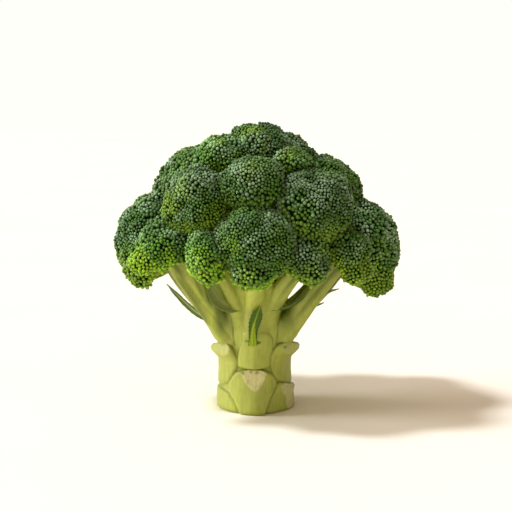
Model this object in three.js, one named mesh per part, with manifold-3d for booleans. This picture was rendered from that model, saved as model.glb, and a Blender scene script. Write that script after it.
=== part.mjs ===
// Broccoli head, as cut: a thick stalk with a flat cut base, the stems that
// divide from it, the florets that the stems carry and the small leaves left on
// the stalk. Millimetres, +Z up, the front of the head faces -Y. The origin is
// the centre of the flat cut base.
import * as THREE from 'three';
import * as BufferGeometryUtils from 'three/addons/utils/BufferGeometryUtils.js';
import Module from 'manifold-3d';

const wasm = await Module();
wasm.setup();

// ---------------------------------------------------------------- dimensions
const GAP = 0.3;                 // clearance between neighbouring pieces
const UNDERSIDE = 0.36;          // underside of a floret, as a part of its radius
const ROOT_RISE = 0.45;          // where a floret's own axis starts on the main axis
const ROOT_BASE = 5;
const STEM_SIDES = 9;
const STEM_STEPS = 6;
const STALK_SIDES = 30;
const DETAIL = 2;                // subdivision of the florets and cushions
const BIG = 400;                 // side of the blocks that make flat cuts

// stalk: height and radius of its outline, from the cut base to the crotch
const STALK_PROFILE = [
  [0, 20.4], [1.5, 21.4], [5, 21.3], [10, 20.8], [16, 20.4], [24, 20.3],
  [30, 20.5], [36, 21.3], [42, 22.2], [47, 22.0], [51, 19.2], [54, 12.5], [55.5, 0],
];
const STALK_BOW = 0.6;           // how far the stalk bows to -X at mid height

// leaf-base cushions on the stalk: centre and radii
const CUSHIONS = [
  { at: [-0.7, -15.4, 15.0], size: [12.0, 7.6, 15.5] },   // front, low
  { at: [-0.5, -16.4, 38.0], size: [9.0, 6.4, 14.5] },    // front, high
  { at: [-17.6, -8.8, 37.0], size: [7.6, 8.6, 11.0] },    // left
  { at: [17.6, -8.2, 37.2], size: [7.6, 8.6, 11.0] },     // right
  { at: [16.2, -9.0, 9.0], size: [7.2, 8.8, 12.0] },      // right, low
  { at: [-13.6, 13.0, 21.0], size: [7.6, 7.6, 13.0] },    // back left
  { at: [8.5, 16.2, 35.0], size: [8.6, 7.2, 13.0] },      // back right
];

// flat scars where leaves were trimmed away: a point on the flat and its normal
const SCARS = [
  { at: [-0.7, -20.9, 19.4], normal: [0, -0.9, 0.44], reach: [13, 10] },
  { at: [-0.6, -19.8, 42.8], normal: [0, -0.42, 0.9], reach: [10, 7] },
  { at: [-21.0, -9.5, 36.3], normal: [-0.16, -0.1, 0.98], reach: [9, 9] },
  { at: [20.6, -8.5, 36.6], normal: [0.12, -0.16, 0.98], reach: [9, 9] },
  { at: [20.5, -10.6, 9.8], normal: [0.72, -0.6, 0.34], reach: [9, 8] },
  { at: [-17.6, 16.2, 22.6], normal: [-0.6, 0.55, 0.58], reach: [9, 8] },
  { at: [9.6, 21.0, 36.0], normal: [0.16, 0.5, 0.85], reach: [9, 8] },
];

// florets: centre and radii
const FLORETS = {
  left: { at: [-53.5, 6, 93.7], size: [25.7, 26.5, 25.9] },
  left_front: { at: [-49, -33, 95.1], size: [14.1, 15.5, 13.3] },
  left_centre: { at: [-38.6, -37, 96.1], size: [9, 10.5, 9.5] },
  upper_left: { at: [-31.6, 17, 121.4], size: [24.6, 26.5, 24] },
  front_upper_left: { at: [-30.8, -31, 117.5], size: [18.2, 21.5, 20.1] },
  top_left: { at: [-18.8, -8, 139.5], size: [14.3, 18, 14.3] },
  top: { at: [1.5, 1, 138.4], size: [20.1, 24, 20.9] },
  top_right: { at: [18.9, 7, 138.1], size: [13.7, 17, 14.6] },
  front_upper: { at: [-1.7, -38, 128.7], size: [17.2, 18.5, 14.6] },
  front_top_right: { at: [20.2, -22, 137.4], size: [10.7, 14.5, 9.6] },
  front_upper_right: { at: [29.3, -34, 116.3], size: [22.1, 22.5, 20] },
  upper_right: { at: [34, 13, 116.6], size: [26.2, 27, 25.6] },
  right: { at: [53.9, 4, 90.6], size: [26.7, 26.5, 27] },
  right_front: { at: [49.4, -31, 91.6], size: [12.8, 14.5, 11.7] },
  front: { at: [-0.1, -47, 98.8], size: [21.7, 21.5, 19.7] },
  front_lower: { at: [-1.1, -55, 85], size: [12.3, 12, 9.3] },
  front_left: { at: [-26.5, -48, 93.5], size: [9.8, 14, 13.5] },
  front_right: { at: [27, -44, 89.3], size: [12.5, 15, 13] },
  back_left: { at: [-41, 43, 92.5], size: [24, 24.5, 23] },
  back: { at: [1, 51, 96.5], size: [23.5, 20, 21.5] },
  back_right: { at: [42, 41, 91], size: [23.5, 24, 23] },
  back_upper_left: { at: [-20, 44, 118], size: [20.5, 18, 19.5] },
  back_upper: { at: [3, 29, 132], size: [18, 18, 17] },
  back_upper_right: { at: [27, 42, 116.5], size: [21, 18, 19.5] },
};

// stems: one for each floret, a tapered limb given as points with a radius. A
// stem that branches off another one starts inside it and is trimmed to it, so
// the order is from the main stems to the side stems.
const STEMS = {
  front: { path: [[0, -8, 38], [0, -13, 52], [0, -22, 68], [0, -36, 87], [0, -45, 97]], radii: [12.5, 11, 9.6, 8.4, 7.8] },
  left: { path: [[-9.5, -1, 34], [-16.6, -1, 46.8], [-25.6, -0.5, 58.6], [-39, 3, 74], [-50, 6, 91]], radii: [9.8, 9.2, 8, 7.6, 7.4] },
  right: { path: [[9.5, 0, 34], [16.2, 0, 46.4], [27.9, 0.8, 59.8], [38.8, 3, 71.4], [50, 4, 88]], radii: [9.8, 9, 6.6, 6.5, 7] },
  left_front: { path: [[-9, -8, 36], [-19, -12, 51], [-30.5, -18, 66], [-42, -27, 84], [-48, -32, 94]], radii: [9.5, 7.6, 6, 5.2, 4.8] },
  right_front: { path: [[9, -7, 38], [20, -11, 52], [31, -17, 67], [42, -25, 82], [48, -30, 90]], radii: [9.5, 7.6, 6, 5.2, 4.8] },
  top: { path: [[0, 0, 45], [0, 1, 72], [1, 1, 100], [1.5, 1, 136]], radii: [13, 11, 9, 7] },
  back: { path: [[0, 8, 38], [0, 18, 56], [0, 33, 76], [1, 48, 93]], radii: [10.5, 8.6, 7.4, 6.8] },
  back_left: { path: [[-5, 9, 36], [-9, 17, 53], [-16, 27, 67], [-29, 37, 80], [-39, 42, 90]], radii: [9.5, 8, 7, 6.8, 6.6] },
  back_right: { path: [[5, 9, 36], [9, 17, 53], [16, 27, 67], [29, 36, 79], [40, 40, 88]], radii: [9.5, 8, 7, 6.8, 6.6] },
  front_left: { path: [[-4, -10, 40], [-8, -17, 56], [-16, -29, 75], [-25, -45, 91]], radii: [8, 6.4, 4.9, 4.3] },
  front_right: { path: [[6, -12, 46], [9, -20, 60], [17, -32, 76], [26, -43, 88]], radii: [6.5, 5.6, 4.8, 4.4] },
  upper_left: { path: [[-9, 6, 42], [-12.5, 10, 62], [-19, 14, 86], [-28, 17, 112], [-31, 18, 119]], radii: [8, 7, 6.2, 6, 5.6] },
  upper_right: { path: [[9, 5, 42], [11.5, 8, 62], [18, 11, 84], [30, 13, 107], [33, 13, 114]], radii: [8, 7, 6.4, 6.2, 5.8] },
  front_upper_left: { path: [[-8, -15, 58], [-15, -23, 82], [-25, -28, 106], [-30, -30, 116]], radii: [5.4, 5.2, 5.4, 5.2] },
  front_upper_right: { path: [[10, -8, 54], [13.5, -16, 74], [20, -24, 96], [28, -32, 114]], radii: [5.8, 5.6, 5.6, 5.4] },
  front_upper: { path: [[0, -12, 62], [-1, -21, 86], [-1.5, -32, 116], [-1.7, -37, 126]], radii: [6, 5.6, 5, 4.8] },
  front_lower: { path: [[0, -27, 74], [-0.5, -42, 81], [-1, -53, 85]], radii: [5, 4.4, 4] },
  left_centre: { path: [[-27, -16, 61], [-31, -24, 76], [-36, -32, 90], [-38.4, -36, 95]], radii: [4.6, 4, 3.6, 3.4] },
  back_upper: { path: [[0, 4, 84], [2, 15, 108], [3, 27, 129]], radii: [6, 5.4, 5] },
  back_upper_left: { path: [[-8, 14, 54], [-13, 28, 84], [-18, 41, 113]], radii: [5.6, 5.4, 5.2] },
  back_upper_right: { path: [[8, 14, 54], [15, 28, 84], [25, 39, 111]], radii: [5.6, 5.4, 5.2] },
  top_left: { path: [[0, 0, 90], [-8, -3, 112], [-17, -7, 136]], radii: [6, 5, 4.4] },
  top_right: { path: [[1, 1, 96], [9, 4, 116], [17, 6.5, 135]], radii: [5.4, 4.8, 4.4] },
  front_top_right: { path: [[1, -1, 92], [9, -10, 114], [18, -20, 134]], radii: [5, 4.2, 3.8] },
};

// leaves: points along the midrib, width and thickness there, and the way the
// blade faces
const LEAVES = {
  front: { path: [[-1.2, -22.6, 40.2], [-0.8, -26.6, 48.4], [0.3, -30.6, 56], [1.6, -32.6, 62]], width: [4.4, 5.6, 5.4, 2], thick: [3.4, 1.6, 1.2, 1], face: [0, -1, 0.2] },
  left_outer: { path: [[-26, -11.2, 52.6], [-33, -12.4, 57.2], [-41.4, -12.8, 64.6], [-48.2, -12.6, 71.2]], width: [3.4, 4.4, 3.8, 1.6], thick: [1.8, 1.2, 1.1, 1], face: [-0.5, -0.35, -0.8] },
  left_inner: { path: [[-9.4, -24, 59], [-15.5, -25, 63.5], [-21, -26, 69], [-23, -27, 75.5]], width: [3.6, 6, 6.4, 2.4], thick: [1.8, 1.2, 1.1, 1], face: [-0.3, -0.75, 0.6] },
  right_inner: { path: [[8, -24, 59], [14, -24.5, 60.6], [20.4, -24, 63.4], [26.6, -23, 69.5]], width: [3.4, 4.6, 4, 1.8], thick: [1.8, 1.2, 1.1, 1], face: [0.2, -0.7, 0.7] },
  right_lower: { path: [[29.8, -4, 53], [33.4, -4.6, 55.4], [38.4, -5.4, 59.4]], width: [3, 2.8, 1.4], thick: [2.2, 1.6, 1], face: [0.5, -0.4, -0.8] },
  right_outer: { path: [[38, -4, 61], [41.6, -4.6, 63.6], [46.4, -5.4, 67.8]], width: [3, 2.8, 1.4], thick: [2.2, 1.6, 1], face: [0.5, -0.4, -0.8] },
  back: { path: [[2, 22.6, 42], [3.4, 27.6, 51], [3.6, 31, 60], [2.4, 32.4, 68]], width: [4.4, 6.2, 5.8, 2.2], thick: [2.6, 1.5, 1.2, 1], face: [0, 1, 0.2] },
};

// ------------------------------------------------------------------- helpers
const V = (p) => new THREE.Vector3(...p);

function bare(geometry, tolerance = 1e-4) {
  const g = geometry.index ? geometry.clone() : geometry;
  g.deleteAttribute('normal');
  g.deleteAttribute('uv');
  return BufferGeometryUtils.mergeVertices(g, tolerance);
}

function solid(geometry) {
  return new wasm.Manifold(new wasm.Mesh({
    numProp: 3,
    vertProperties: new Float32Array(geometry.attributes.position.array),
    triVerts: new Uint32Array(geometry.index.array),
  }));
}

function ellipsoid(at, size, detail) {
  const g = bare(new THREE.IcosahedronGeometry(1, detail));
  g.applyMatrix4(new THREE.Matrix4().compose(V(at), new THREE.Quaternion(), V(size)));
  return solid(g);
}

// everything beyond the plane dot(normal, x) = offset, as a solid block
function beyond(normal, offset) {
  const g = bare(new THREE.BoxGeometry(BIG, BIG, BIG));
  const n = normal.clone().normalize();
  const q = new THREE.Quaternion().setFromUnitVectors(new THREE.Vector3(0, 0, 1), n);
  g.applyMatrix4(new THREE.Matrix4().compose(
    n.clone().multiplyScalar(offset + BIG / 2), q, new THREE.Vector3(1, 1, 1)));
  return solid(g);
}

// a block that stands on one flat scar and takes away what is above it
function scarBlock(scar) {
  const g = bare(new THREE.BoxGeometry(2 * scar.reach[0], 2 * scar.reach[1], 12));
  const n = V(scar.normal).normalize();
  const side = new THREE.Vector3(0, 0, 1).cross(n).normalize();
  const rise = n.clone().cross(side);
  g.translate(0, 0, 6);
  g.applyMatrix4(new THREE.Matrix4().makeBasis(side, rise, n).setPosition(V(scar.at)));
  return solid(g);
}

// a limb whose section is an ellipse that changes along a smooth curve
function limb(path, wide, thick, face, grow = 0, sides = STEM_SIDES, steps = STEM_STEPS) {
  const curve = new THREE.CatmullRomCurve3(path.map(V), false, 'centripetal');
  const frames = curve.computeFrenetFrames(steps, false);
  const at = (list, t) => {
    const s = t * (list.length - 1);
    const i = Math.min(list.length - 2, Math.floor(s));
    return THREE.MathUtils.lerp(list[i], list[i + 1], s - i);
  };
  const g = bare(new THREE.CylinderGeometry(1, 1, 1, sides, steps));
  const pos = g.attributes.position;
  for (let i = 0; i < pos.count; i++) {
    const t = pos.getY(i) + 0.5;
    const k = Math.round(t * steps);
    const centre = curve.getPoint(t);
    const along = frames.tangents[k];
    let n1 = frames.normals[k].clone();
    if (face) {
      n1 = V(face);
      n1.addScaledVector(along, -n1.dot(along)).normalize();
    }
    const n2 = along.clone().cross(n1).normalize();
    const a = at(thick, t) + grow;
    const b = at(wide, t) + grow;
    if (t < 1e-6) centre.addScaledVector(along, -grow);
    if (t > 1 - 1e-6) centre.addScaledVector(along, grow);
    centre.addScaledVector(n1, pos.getX(i) * a).addScaledVector(n2, -pos.getZ(i) * b);
    pos.setXYZ(i, centre.x, centre.y, centre.z);
  }
  return solid(g);
}

function join(list) {
  let all = list[0];
  for (let i = 1; i < list.length; i++) all = all.add(list[i]);
  return all;
}

function largest(body) {
  let best = null;
  for (const piece of body.decompose()) {
    if (!best || piece.volume() > best.volume()) best = piece;
  }
  return best;
}

// --------------------------------------------------------------------- stalk
function stalkBody(grow) {
  const rows = STALK_PROFILE.length - 1;
  const g = bare(new THREE.CylinderGeometry(1, 1, 1, STALK_SIDES, rows));
  const pos = g.attributes.position;
  for (let i = 0; i < pos.count; i++) {
    const k = Math.round((pos.getY(i) + 0.5) * rows);
    const [z, r] = STALK_PROFILE[k];
    const x = pos.getX(i);
    const y = -pos.getZ(i);
    const rim = Math.hypot(x, y);
    const a = Math.atan2(y, x);
    // slightly angular, as where several leaf bases run down it
    const lobes = 1 + 0.014 * Math.cos(3 * a + 0.6 + z * 0.02) + 0.012 * Math.cos(5 * a - 0.8);
    const bow = -STALK_BOW * Math.sin(Math.PI * Math.min(z / 40, 1));
    const radius = rim < 0.5 ? 0 : Math.max(r, 0.4) * lobes + grow;
    const lift = k === 0 ? -grow : z > 50 ? grow : 0;
    pos.setXYZ(i, bow + Math.cos(a) * radius, Math.sin(a) * radius, z + lift);
  }
  return solid(g);
}

function stalkWhole(grow, cut) {
  let body = stalkBody(grow);
  for (const c of CUSHIONS) {
    body = body.add(ellipsoid(c.at, c.size.map((s) => s + grow), DETAIL));
  }
  if (cut) {
    for (const s of SCARS) body = body.subtract(scarBlock(s));
  }
  body = body.subtract(beyond(new THREE.Vector3(0, 0, -1), grow));
  return largest(body);
}

const stalk = stalkWhole(0, true);
const stalkClear = stalkWhole(GAP, false);

// ------------------------------------------------------------------- florets
const names = Object.keys(FLORETS);

function axisOf(f) {
  const c = V(f.at);
  return c.clone().sub(new THREE.Vector3(0, 0, ROOT_RISE * c.z + ROOT_BASE)).normalize();
}

function reachAlong(size, d) {
  return 1 / Math.hypot(d.x / size[0], d.y / size[1], d.z / size[2]);
}

function floretBody(name) {
  const f = FLORETS[name];
  const c = V(f.at);
  let body = ellipsoid(f.at, f.size, DETAIL);
  const axis = axisOf(f);
  const under = axis.clone().negate();
  body = body.subtract(beyond(under, under.dot(c) + UNDERSIDE * reachAlong(f.size, axis)));
  for (const other of names) {
    if (other === name) continue;
    const h = FLORETS[other];
    const d = V(h.at).sub(c);
    const distance = d.length();
    d.normalize();
    const own = reachAlong(f.size, d);
    const their = reachAlong(h.size, d);
    if (distance > own + their + 1) continue;
    const s = (distance * distance + own * own - their * their) / (2 * distance);
    body = body.subtract(beyond(d, d.dot(c) + s - GAP / 2));
  }
  return largest(body);
}

function floretClear(name) {
  const f = FLORETS[name];
  const axis = axisOf(f);
  const under = axis.clone().negate();
  const size = f.size.map((s) => s + GAP + 0.1);
  return ellipsoid(f.at, size, DETAIL)
    .subtract(beyond(under, under.dot(V(f.at)) + UNDERSIDE * reachAlong(f.size, axis) + GAP));
}

const floretBodies = Object.fromEntries(names.map((n) => [n, floretBody(n)]));
const floretsClear = join(names.map(floretClear));

// --------------------------------------------------------------------- stems
const stemBodies = {};
let stemsClear = null;
for (const [name, stem] of Object.entries(STEMS)) {
  let body = limb(stem.path, stem.radii, stem.radii, null)
    .subtract(stalkClear).subtract(floretsClear);
  if (stemsClear) body = body.subtract(stemsClear);
  stemBodies[name] = largest(body);
  const clear = limb(stem.path, stem.radii, stem.radii, null, GAP);
  stemsClear = stemsClear ? stemsClear.add(clear) : clear;
}

// -------------------------------------------------------------------- leaves
const leafBodies = {};
for (const [name, leaf] of Object.entries(LEAVES)) {
  const half = (list) => list.map((s) => s / 2);
  const body = limb(leaf.path, half(leaf.width), half(leaf.thick), leaf.face, 0, 8, 6)
    .subtract(stalkClear).subtract(stemsClear).subtract(floretsClear);
  leafBodies[name] = largest(body);
}

// --------------------------------------------------------------------- build
const root = new THREE.Group();

function place(name, body, colour, roughness) {
  const mesh = body.getMesh();
  const g = new THREE.BufferGeometry();
  g.setAttribute('position', new THREE.BufferAttribute(new Float32Array(mesh.vertProperties), 3));
  g.setIndex(new THREE.BufferAttribute(new Uint32Array(mesh.triVerts), 1));
  g.computeVertexNormals();
  const material = new THREE.MeshStandardMaterial({ color: colour, roughness, metalness: 0 });
  const part = new THREE.Mesh(g, material);
  part.name = name;
  root.add(part);
}

place('stalk', stalk, 0xa9b54e, 0.45);
for (const [name, body] of Object.entries(stemBodies)) place('stem_' + name, body, 0xa3ad55, 0.5);
for (const [name, body] of Object.entries(floretBodies)) place('floret_' + name, body, 0x2f5230, 0.8);
for (const [name, body] of Object.entries(leafBodies)) place('leaf_' + name, body, 0x35602c, 0.6);

export default root;
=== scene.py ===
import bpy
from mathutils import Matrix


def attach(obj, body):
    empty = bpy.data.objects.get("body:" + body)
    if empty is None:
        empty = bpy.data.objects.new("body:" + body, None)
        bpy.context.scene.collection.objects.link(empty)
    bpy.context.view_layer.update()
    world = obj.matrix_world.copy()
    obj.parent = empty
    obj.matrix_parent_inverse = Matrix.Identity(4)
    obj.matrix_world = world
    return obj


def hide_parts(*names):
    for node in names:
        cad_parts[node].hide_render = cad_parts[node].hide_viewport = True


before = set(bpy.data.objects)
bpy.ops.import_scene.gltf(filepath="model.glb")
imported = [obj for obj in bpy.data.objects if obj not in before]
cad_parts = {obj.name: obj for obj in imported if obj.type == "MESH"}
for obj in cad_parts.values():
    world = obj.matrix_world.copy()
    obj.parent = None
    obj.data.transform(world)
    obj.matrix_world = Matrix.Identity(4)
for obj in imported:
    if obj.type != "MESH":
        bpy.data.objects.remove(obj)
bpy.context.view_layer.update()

import math
import bpy
import numpy as np
from mathutils import Vector, kdtree

MM = 0.001

# ------------------------------------------------------------------ the design
# the same places and sizes as the CAD nodes, in millimetres
FLORETS = {
    "left": ((-53.5, 6, 93.7), (25.7, 26.5, 25.9)),
    "left_front": ((-49, -33, 95.1), (14.1, 15.5, 13.3)),
    "left_centre": ((-38.6, -37, 96.1), (9, 10.5, 9.5)),
    "upper_left": ((-31.6, 17, 121.4), (24.6, 26.5, 24)),
    "front_upper_left": ((-30.8, -31, 117.5), (18.2, 21.5, 20.1)),
    "top_left": ((-18.8, -8, 139.5), (14.3, 18, 14.3)),
    "top": ((1.5, 1, 138.4), (20.1, 24, 20.9)),
    "top_right": ((18.9, 7, 138.1), (13.7, 17, 14.6)),
    "front_upper": ((-1.7, -38, 128.7), (17.2, 18.5, 14.6)),
    "front_top_right": ((20.2, -22, 137.4), (10.7, 14.5, 9.6)),
    "front_upper_right": ((29.3, -34, 116.3), (22.1, 22.5, 20)),
    "upper_right": ((34, 13, 116.6), (26.2, 27, 25.6)),
    "right": ((53.9, 4, 90.6), (26.7, 26.5, 27)),
    "right_front": ((49.4, -31, 91.6), (12.8, 14.5, 11.7)),
    "front": ((-0.1, -47, 98.8), (21.7, 21.5, 19.7)),
    "front_lower": ((-1.1, -55, 85), (12.3, 12, 9.3)),
    "front_left": ((-26.5, -48, 93.5), (9.8, 14, 13.5)),
    "front_right": ((27, -44, 89.3), (12.5, 15, 13)),
    "back_left": ((-41, 43, 92.5), (24, 24.5, 23)),
    "back": ((1, 51, 96.5), (23.5, 20, 21.5)),
    "back_right": ((42, 41, 91), (23.5, 24, 23)),
    "back_upper_left": ((-20, 44, 118), (20.5, 18, 19.5)),
    "back_upper": ((3, 29, 132), (18, 18, 17)),
    "back_upper_right": ((27, 42, 116.5), (21, 18, 19.5)),
}

STEMS = {
    "front": ([(0, -8, 38), (0, -13, 52), (0, -22, 68), (0, -36, 87), (0, -45, 97)], (12.5, 11, 9.6, 8.4, 7.8)),
    "left": ([(-9.5, -1, 34), (-16.6, -1, 46.8), (-25.6, -0.5, 58.6), (-39, 3, 74), (-50, 6, 91)], (9.8, 9.2, 8, 7.6, 7.4)),
    "right": ([(9.5, 0, 34), (16.2, 0, 46.4), (27.9, 0.8, 59.8), (38.8, 3, 71.4), (50, 4, 88)], (9.8, 9, 6.6, 6.5, 7)),
    "left_front": ([(-9, -8, 36), (-19, -12, 51), (-30.5, -18, 66), (-42, -27, 84), (-48, -32, 94)], (9.5, 7.6, 6, 5.2, 4.8)),
    "right_front": ([(9, -7, 38), (20, -11, 52), (31, -17, 67), (42, -25, 82), (48, -30, 90)], (9.5, 7.6, 6, 5.2, 4.8)),
    "top": ([(0, 0, 45), (0, 1, 72), (1, 1, 100), (1.5, 1, 136)], (13, 11, 9, 7)),
    "back": ([(0, 8, 38), (0, 18, 56), (0, 33, 76), (1, 48, 93)], (10.5, 8.6, 7.4, 6.8)),
    "back_left": ([(-5, 9, 36), (-9, 17, 53), (-16, 27, 67), (-29, 37, 80), (-39, 42, 90)], (9.5, 8, 7, 6.8, 6.6)),
    "back_right": ([(5, 9, 36), (9, 17, 53), (16, 27, 67), (29, 36, 79), (40, 40, 88)], (9.5, 8, 7, 6.8, 6.6)),
    "front_left": ([(-4, -10, 40), (-8, -17, 56), (-16, -29, 75), (-25, -45, 91)], (8, 6.4, 4.9, 4.3)),
    "front_right": ([(6, -12, 46), (9, -20, 60), (17, -32, 76), (26, -43, 88)], (6.5, 5.6, 4.8, 4.4)),
    "upper_left": ([(-9, 6, 42), (-12.5, 10, 62), (-19, 14, 86), (-28, 17, 112), (-31, 18, 119)], (8, 7, 6.2, 6, 5.6)),
    "upper_right": ([(9, 5, 42), (11.5, 8, 62), (18, 11, 84), (30, 13, 107), (33, 13, 114)], (8, 7, 6.4, 6.2, 5.8)),
    "front_upper_left": ([(-8, -15, 58), (-15, -23, 82), (-25, -28, 106), (-30, -30, 116)], (5.4, 5.2, 5.4, 5.2)),
    "front_upper_right": ([(10, -8, 54), (13.5, -16, 74), (20, -24, 96), (28, -32, 114)], (5.8, 5.6, 5.6, 5.4)),
    "front_upper": ([(0, -12, 62), (-1, -21, 86), (-1.5, -32, 116), (-1.7, -37, 126)], (6, 5.6, 5, 4.8)),
    "front_lower": ([(0, -27, 74), (-0.5, -42, 81), (-1, -53, 85)], (5, 4.4, 4)),
    "left_centre": ([(-27, -16, 61), (-31, -24, 76), (-36, -32, 90), (-38.4, -36, 95)], (4.6, 4, 3.6, 3.4)),
    "back_upper": ([(0, 4, 84), (2, 15, 108), (3, 27, 129)], (6, 5.4, 5)),
    "back_upper_left": ([(-8, 14, 54), (-13, 28, 84), (-18, 41, 113)], (5.6, 5.4, 5.2)),
    "back_upper_right": ([(8, 14, 54), (15, 28, 84), (25, 39, 111)], (5.6, 5.4, 5.2)),
    "top_left": ([(0, 0, 90), (-8, -3, 112), (-17, -7, 136)], (6, 5, 4.4)),
    "top_right": ([(1, 1, 96), (9, 4, 116), (17, 6.5, 135)], (5.4, 4.8, 4.4)),
    "front_top_right": ([(1, -1, 92), (9, -10, 114), (18, -20, 134)], (5, 4.2, 3.8)),
}


# ------------------------------------------------------------------ numerics
def unit(v):
    v = np.asarray(v, float)
    return v / np.linalg.norm(v, axis=-1, keepdims=True)


def smin(a, b, k):
    h = np.clip(0.5 + 0.5 * (b - a) / k, 0, 1)
    return b * (1 - h) + a * h - k * h * (1 - h)


def smax(a, b, k):
    return -smin(-a, -b, k)


def smooth(e0, e1, x):
    t = np.clip((x - e0) / (e1 - e0), 0, 1)
    return t * t * (3 - 2 * t)


def _hash(ix, iy, iz, seed):
    h = (ix * 374761393 + iy * 668265263 + iz * 2147483647 + seed * 974634777) & 0xFFFFFFFF
    h = ((h ^ (h >> 13)) * 1274126177) & 0xFFFFFFFF
    h = ((h ^ (h >> 16)) * 2246822519) & 0xFFFFFFFF
    return ((h ^ (h >> 15)) & 0xFFFFFF) / float(0xFFFFFF)


def noise(P, size, seed):
    """Smooth value noise in 0..1 over points P, with features about size across."""
    q = np.asarray(P, float) / size + 1000.0
    i = np.floor(q).astype(np.int64)
    f = q - i
    f = f * f * (3 - 2 * f)
    out = 0
    for dx in (0, 1):
        for dy in (0, 1):
            for dz in (0, 1):
                w = (f[..., 0] if dx else 1 - f[..., 0]) * (f[..., 1] if dy else 1 - f[..., 1]) * (f[..., 2] if dz else 1 - f[..., 2])
                out = out + w * _hash(i[..., 0] + dx, i[..., 1] + dy, i[..., 2] + dz, seed)
    return out


def curve(points, radii, n):
    """Smooth points and radii along a path: a Catmull-Rom spline over chord length."""
    p = np.array(points, float)
    r = np.array(radii, float)
    d = np.r_[0, np.cumsum(np.sqrt(np.linalg.norm(np.diff(p, axis=0), axis=1)))]
    full = np.vstack([2 * p[0] - p[1], p, 2 * p[-1] - p[-2]])
    t = np.r_[d[0] - (d[1] - d[0]), d, d[-1] + (d[-1] - d[-2])]
    u = np.linspace(d[0], d[-1], n)
    out = []
    for x in u:
        k = int(np.clip(np.searchsorted(d, x, side="right") - 1, 0, len(d) - 2)) + 1
        t0, t1, t2, t3 = t[k - 1:k + 3]
        p0, p1, p2, p3 = full[k - 1:k + 3]
        a1 = (t1 - x) / (t1 - t0) * p0 + (x - t0) / (t1 - t0) * p1
        a2 = (t2 - x) / (t2 - t1) * p1 + (x - t1) / (t2 - t1) * p2
        a3 = (t3 - x) / (t3 - t2) * p2 + (x - t2) / (t3 - t2) * p3
        b1 = (t2 - x) / (t2 - t0) * a1 + (x - t0) / (t2 - t0) * a2
        b2 = (t3 - x) / (t3 - t1) * a2 + (x - t1) / (t3 - t1) * a3
        out.append((t2 - x) / (t2 - t1) * b1 + (x - t1) / (t2 - t1) * b2)
    return np.array(out), np.interp(u, d, r)


# ------------------------------------------------------------------ the stalk
Z_R0 = np.array([-1, 0, 1.2, 4, 9, 14, 22, 30, 36, 42, 47, 51, 54.5, 57, 60])
V_R0 = np.array([19.7, 20.0, 20.8, 20.8, 20.3, 19.8, 19.4, 19.8, 20.6, 21.3, 21.2, 18.4, 12.8, 3, -3])

# cushions: outline in degrees round from the front and millimetres up, how proud
# it stands, and the flat scar that cuts it: normal, offset
CUSHIONS = {
    "front_low": dict(
        outline=[(-32, 23.2), (-14, 25.2), (1, 25.2), (12, 25.0), (30, 22.6), (39, 17.1), (36, 14.2), (24, 8.6), (16, 2.1), (14, -3), (-22, -3), (-24, 1.2), (-32, 7.0), (-44, 11.2), (-45, 16.1)],
        proud=1.5, keel=(2.5, 2.3, 44), scar=((-0.03, -0.955, 0.295), 27.35)),
    "front_high": dict(
        outline=[(-19, 41.0), (-20, 45.6), (-11, 47.6), (3, 47.2), (21, 46.2), (27, 42.1), (28, 37.2), (26, 29.0), (25, 25.5), (-27, 25.5), (-28, 28.0), (-28, 33.6)],
        proud=1.0, keel=(-1.0, 2.4, 24)),
    "left": dict(
        outline=[(-122, 33.8), (-88, 35.2), (-62, 38.6), (-38, 39.2), (-28, 31.1), (-28, 25.6), (-36, 21.6), (-45, 16.1), (-71, 12.9), (-100, 14), (-124, 22)],
        proud=0.9, stub=(-76, 3.7, 42, 36.4), scar=((-0.70, -0.70, 0.15), 28.9)),
    "right": dict(
        outline=[(37, 39.6), (62, 39.0), (88, 36.0), (122, 34.6), (124, 22), (100, 15), (77, 13.4), (51, 16.4), (39, 18.3), (30, 22.5), (25, 28.2), (28, 35.4)],
        proud=0.9, stub=(78, 3.7, 40, 36.8), scar=((0.70, -0.70, 0.15), 28.6)),
    "right_low": dict(
        outline=[(39, 17.0), (51, 16.2), (77, 13.8), (96, 12.8), (110, 8), (112, -3), (14, -3), (16, 2.1), (24, 8.6), (36, 14.2)],
        proud=1.2, stub=(70, 1.4, 34, 16), scar=((0.88, -0.46, 0.10), 21.9)),
    "left_low": dict(
        outline=[(-45, 11.4), (-32, 7.0), (-24, 1.2), (-22, -3), (-112, -3), (-112, 8), (-96, 12.6), (-71, 12.6)],
        proud=1.1),
    "back_left": dict(
        outline=[(-124, 22), (-136, 25.4), (-158, 25.6), (-170, 20), (-168, 10), (-156, -3), (-118, -3), (-114, 9)],
        proud=1.2, stub=(-143, 1.4, 24, 26), scar=((-0.560, 0.745, 0.36), 28.4)),
    "back_right": dict(
        outline=[(124, 24), (120, 34), (134, 38.6), (152, 39.4), (170, 37.4), (176, 28), (172, 18), (160, 8), (140, 10)],
        proud=1.2, stub=(148, 2.2, 28, 38.5), scar=((0.42, 0.78, 0.46), 33.6)),
    "back_low": dict(
        outline=[(122, 13), (140, 9.5), (160, 7.5), (178, 12), (190, 9), (202, -3), (114, -3)],
        proud=1.0),
    "back_high": dict(
        outline=[(178, 30), (180, 44), (192, 48), (210, 47), (224, 44), (232, 38), (226, 29), (203, 27), (190, 26)],
        proud=1.0, scar=((-0.30, 0.74, 0.60), 44.2)),
}
PITS = [(-10.0, 41.8, 24.7, 0.8), (4.9, 41.3, 24.7, 0.8), (47, 37.2, 24.4, 0.7)]


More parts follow.
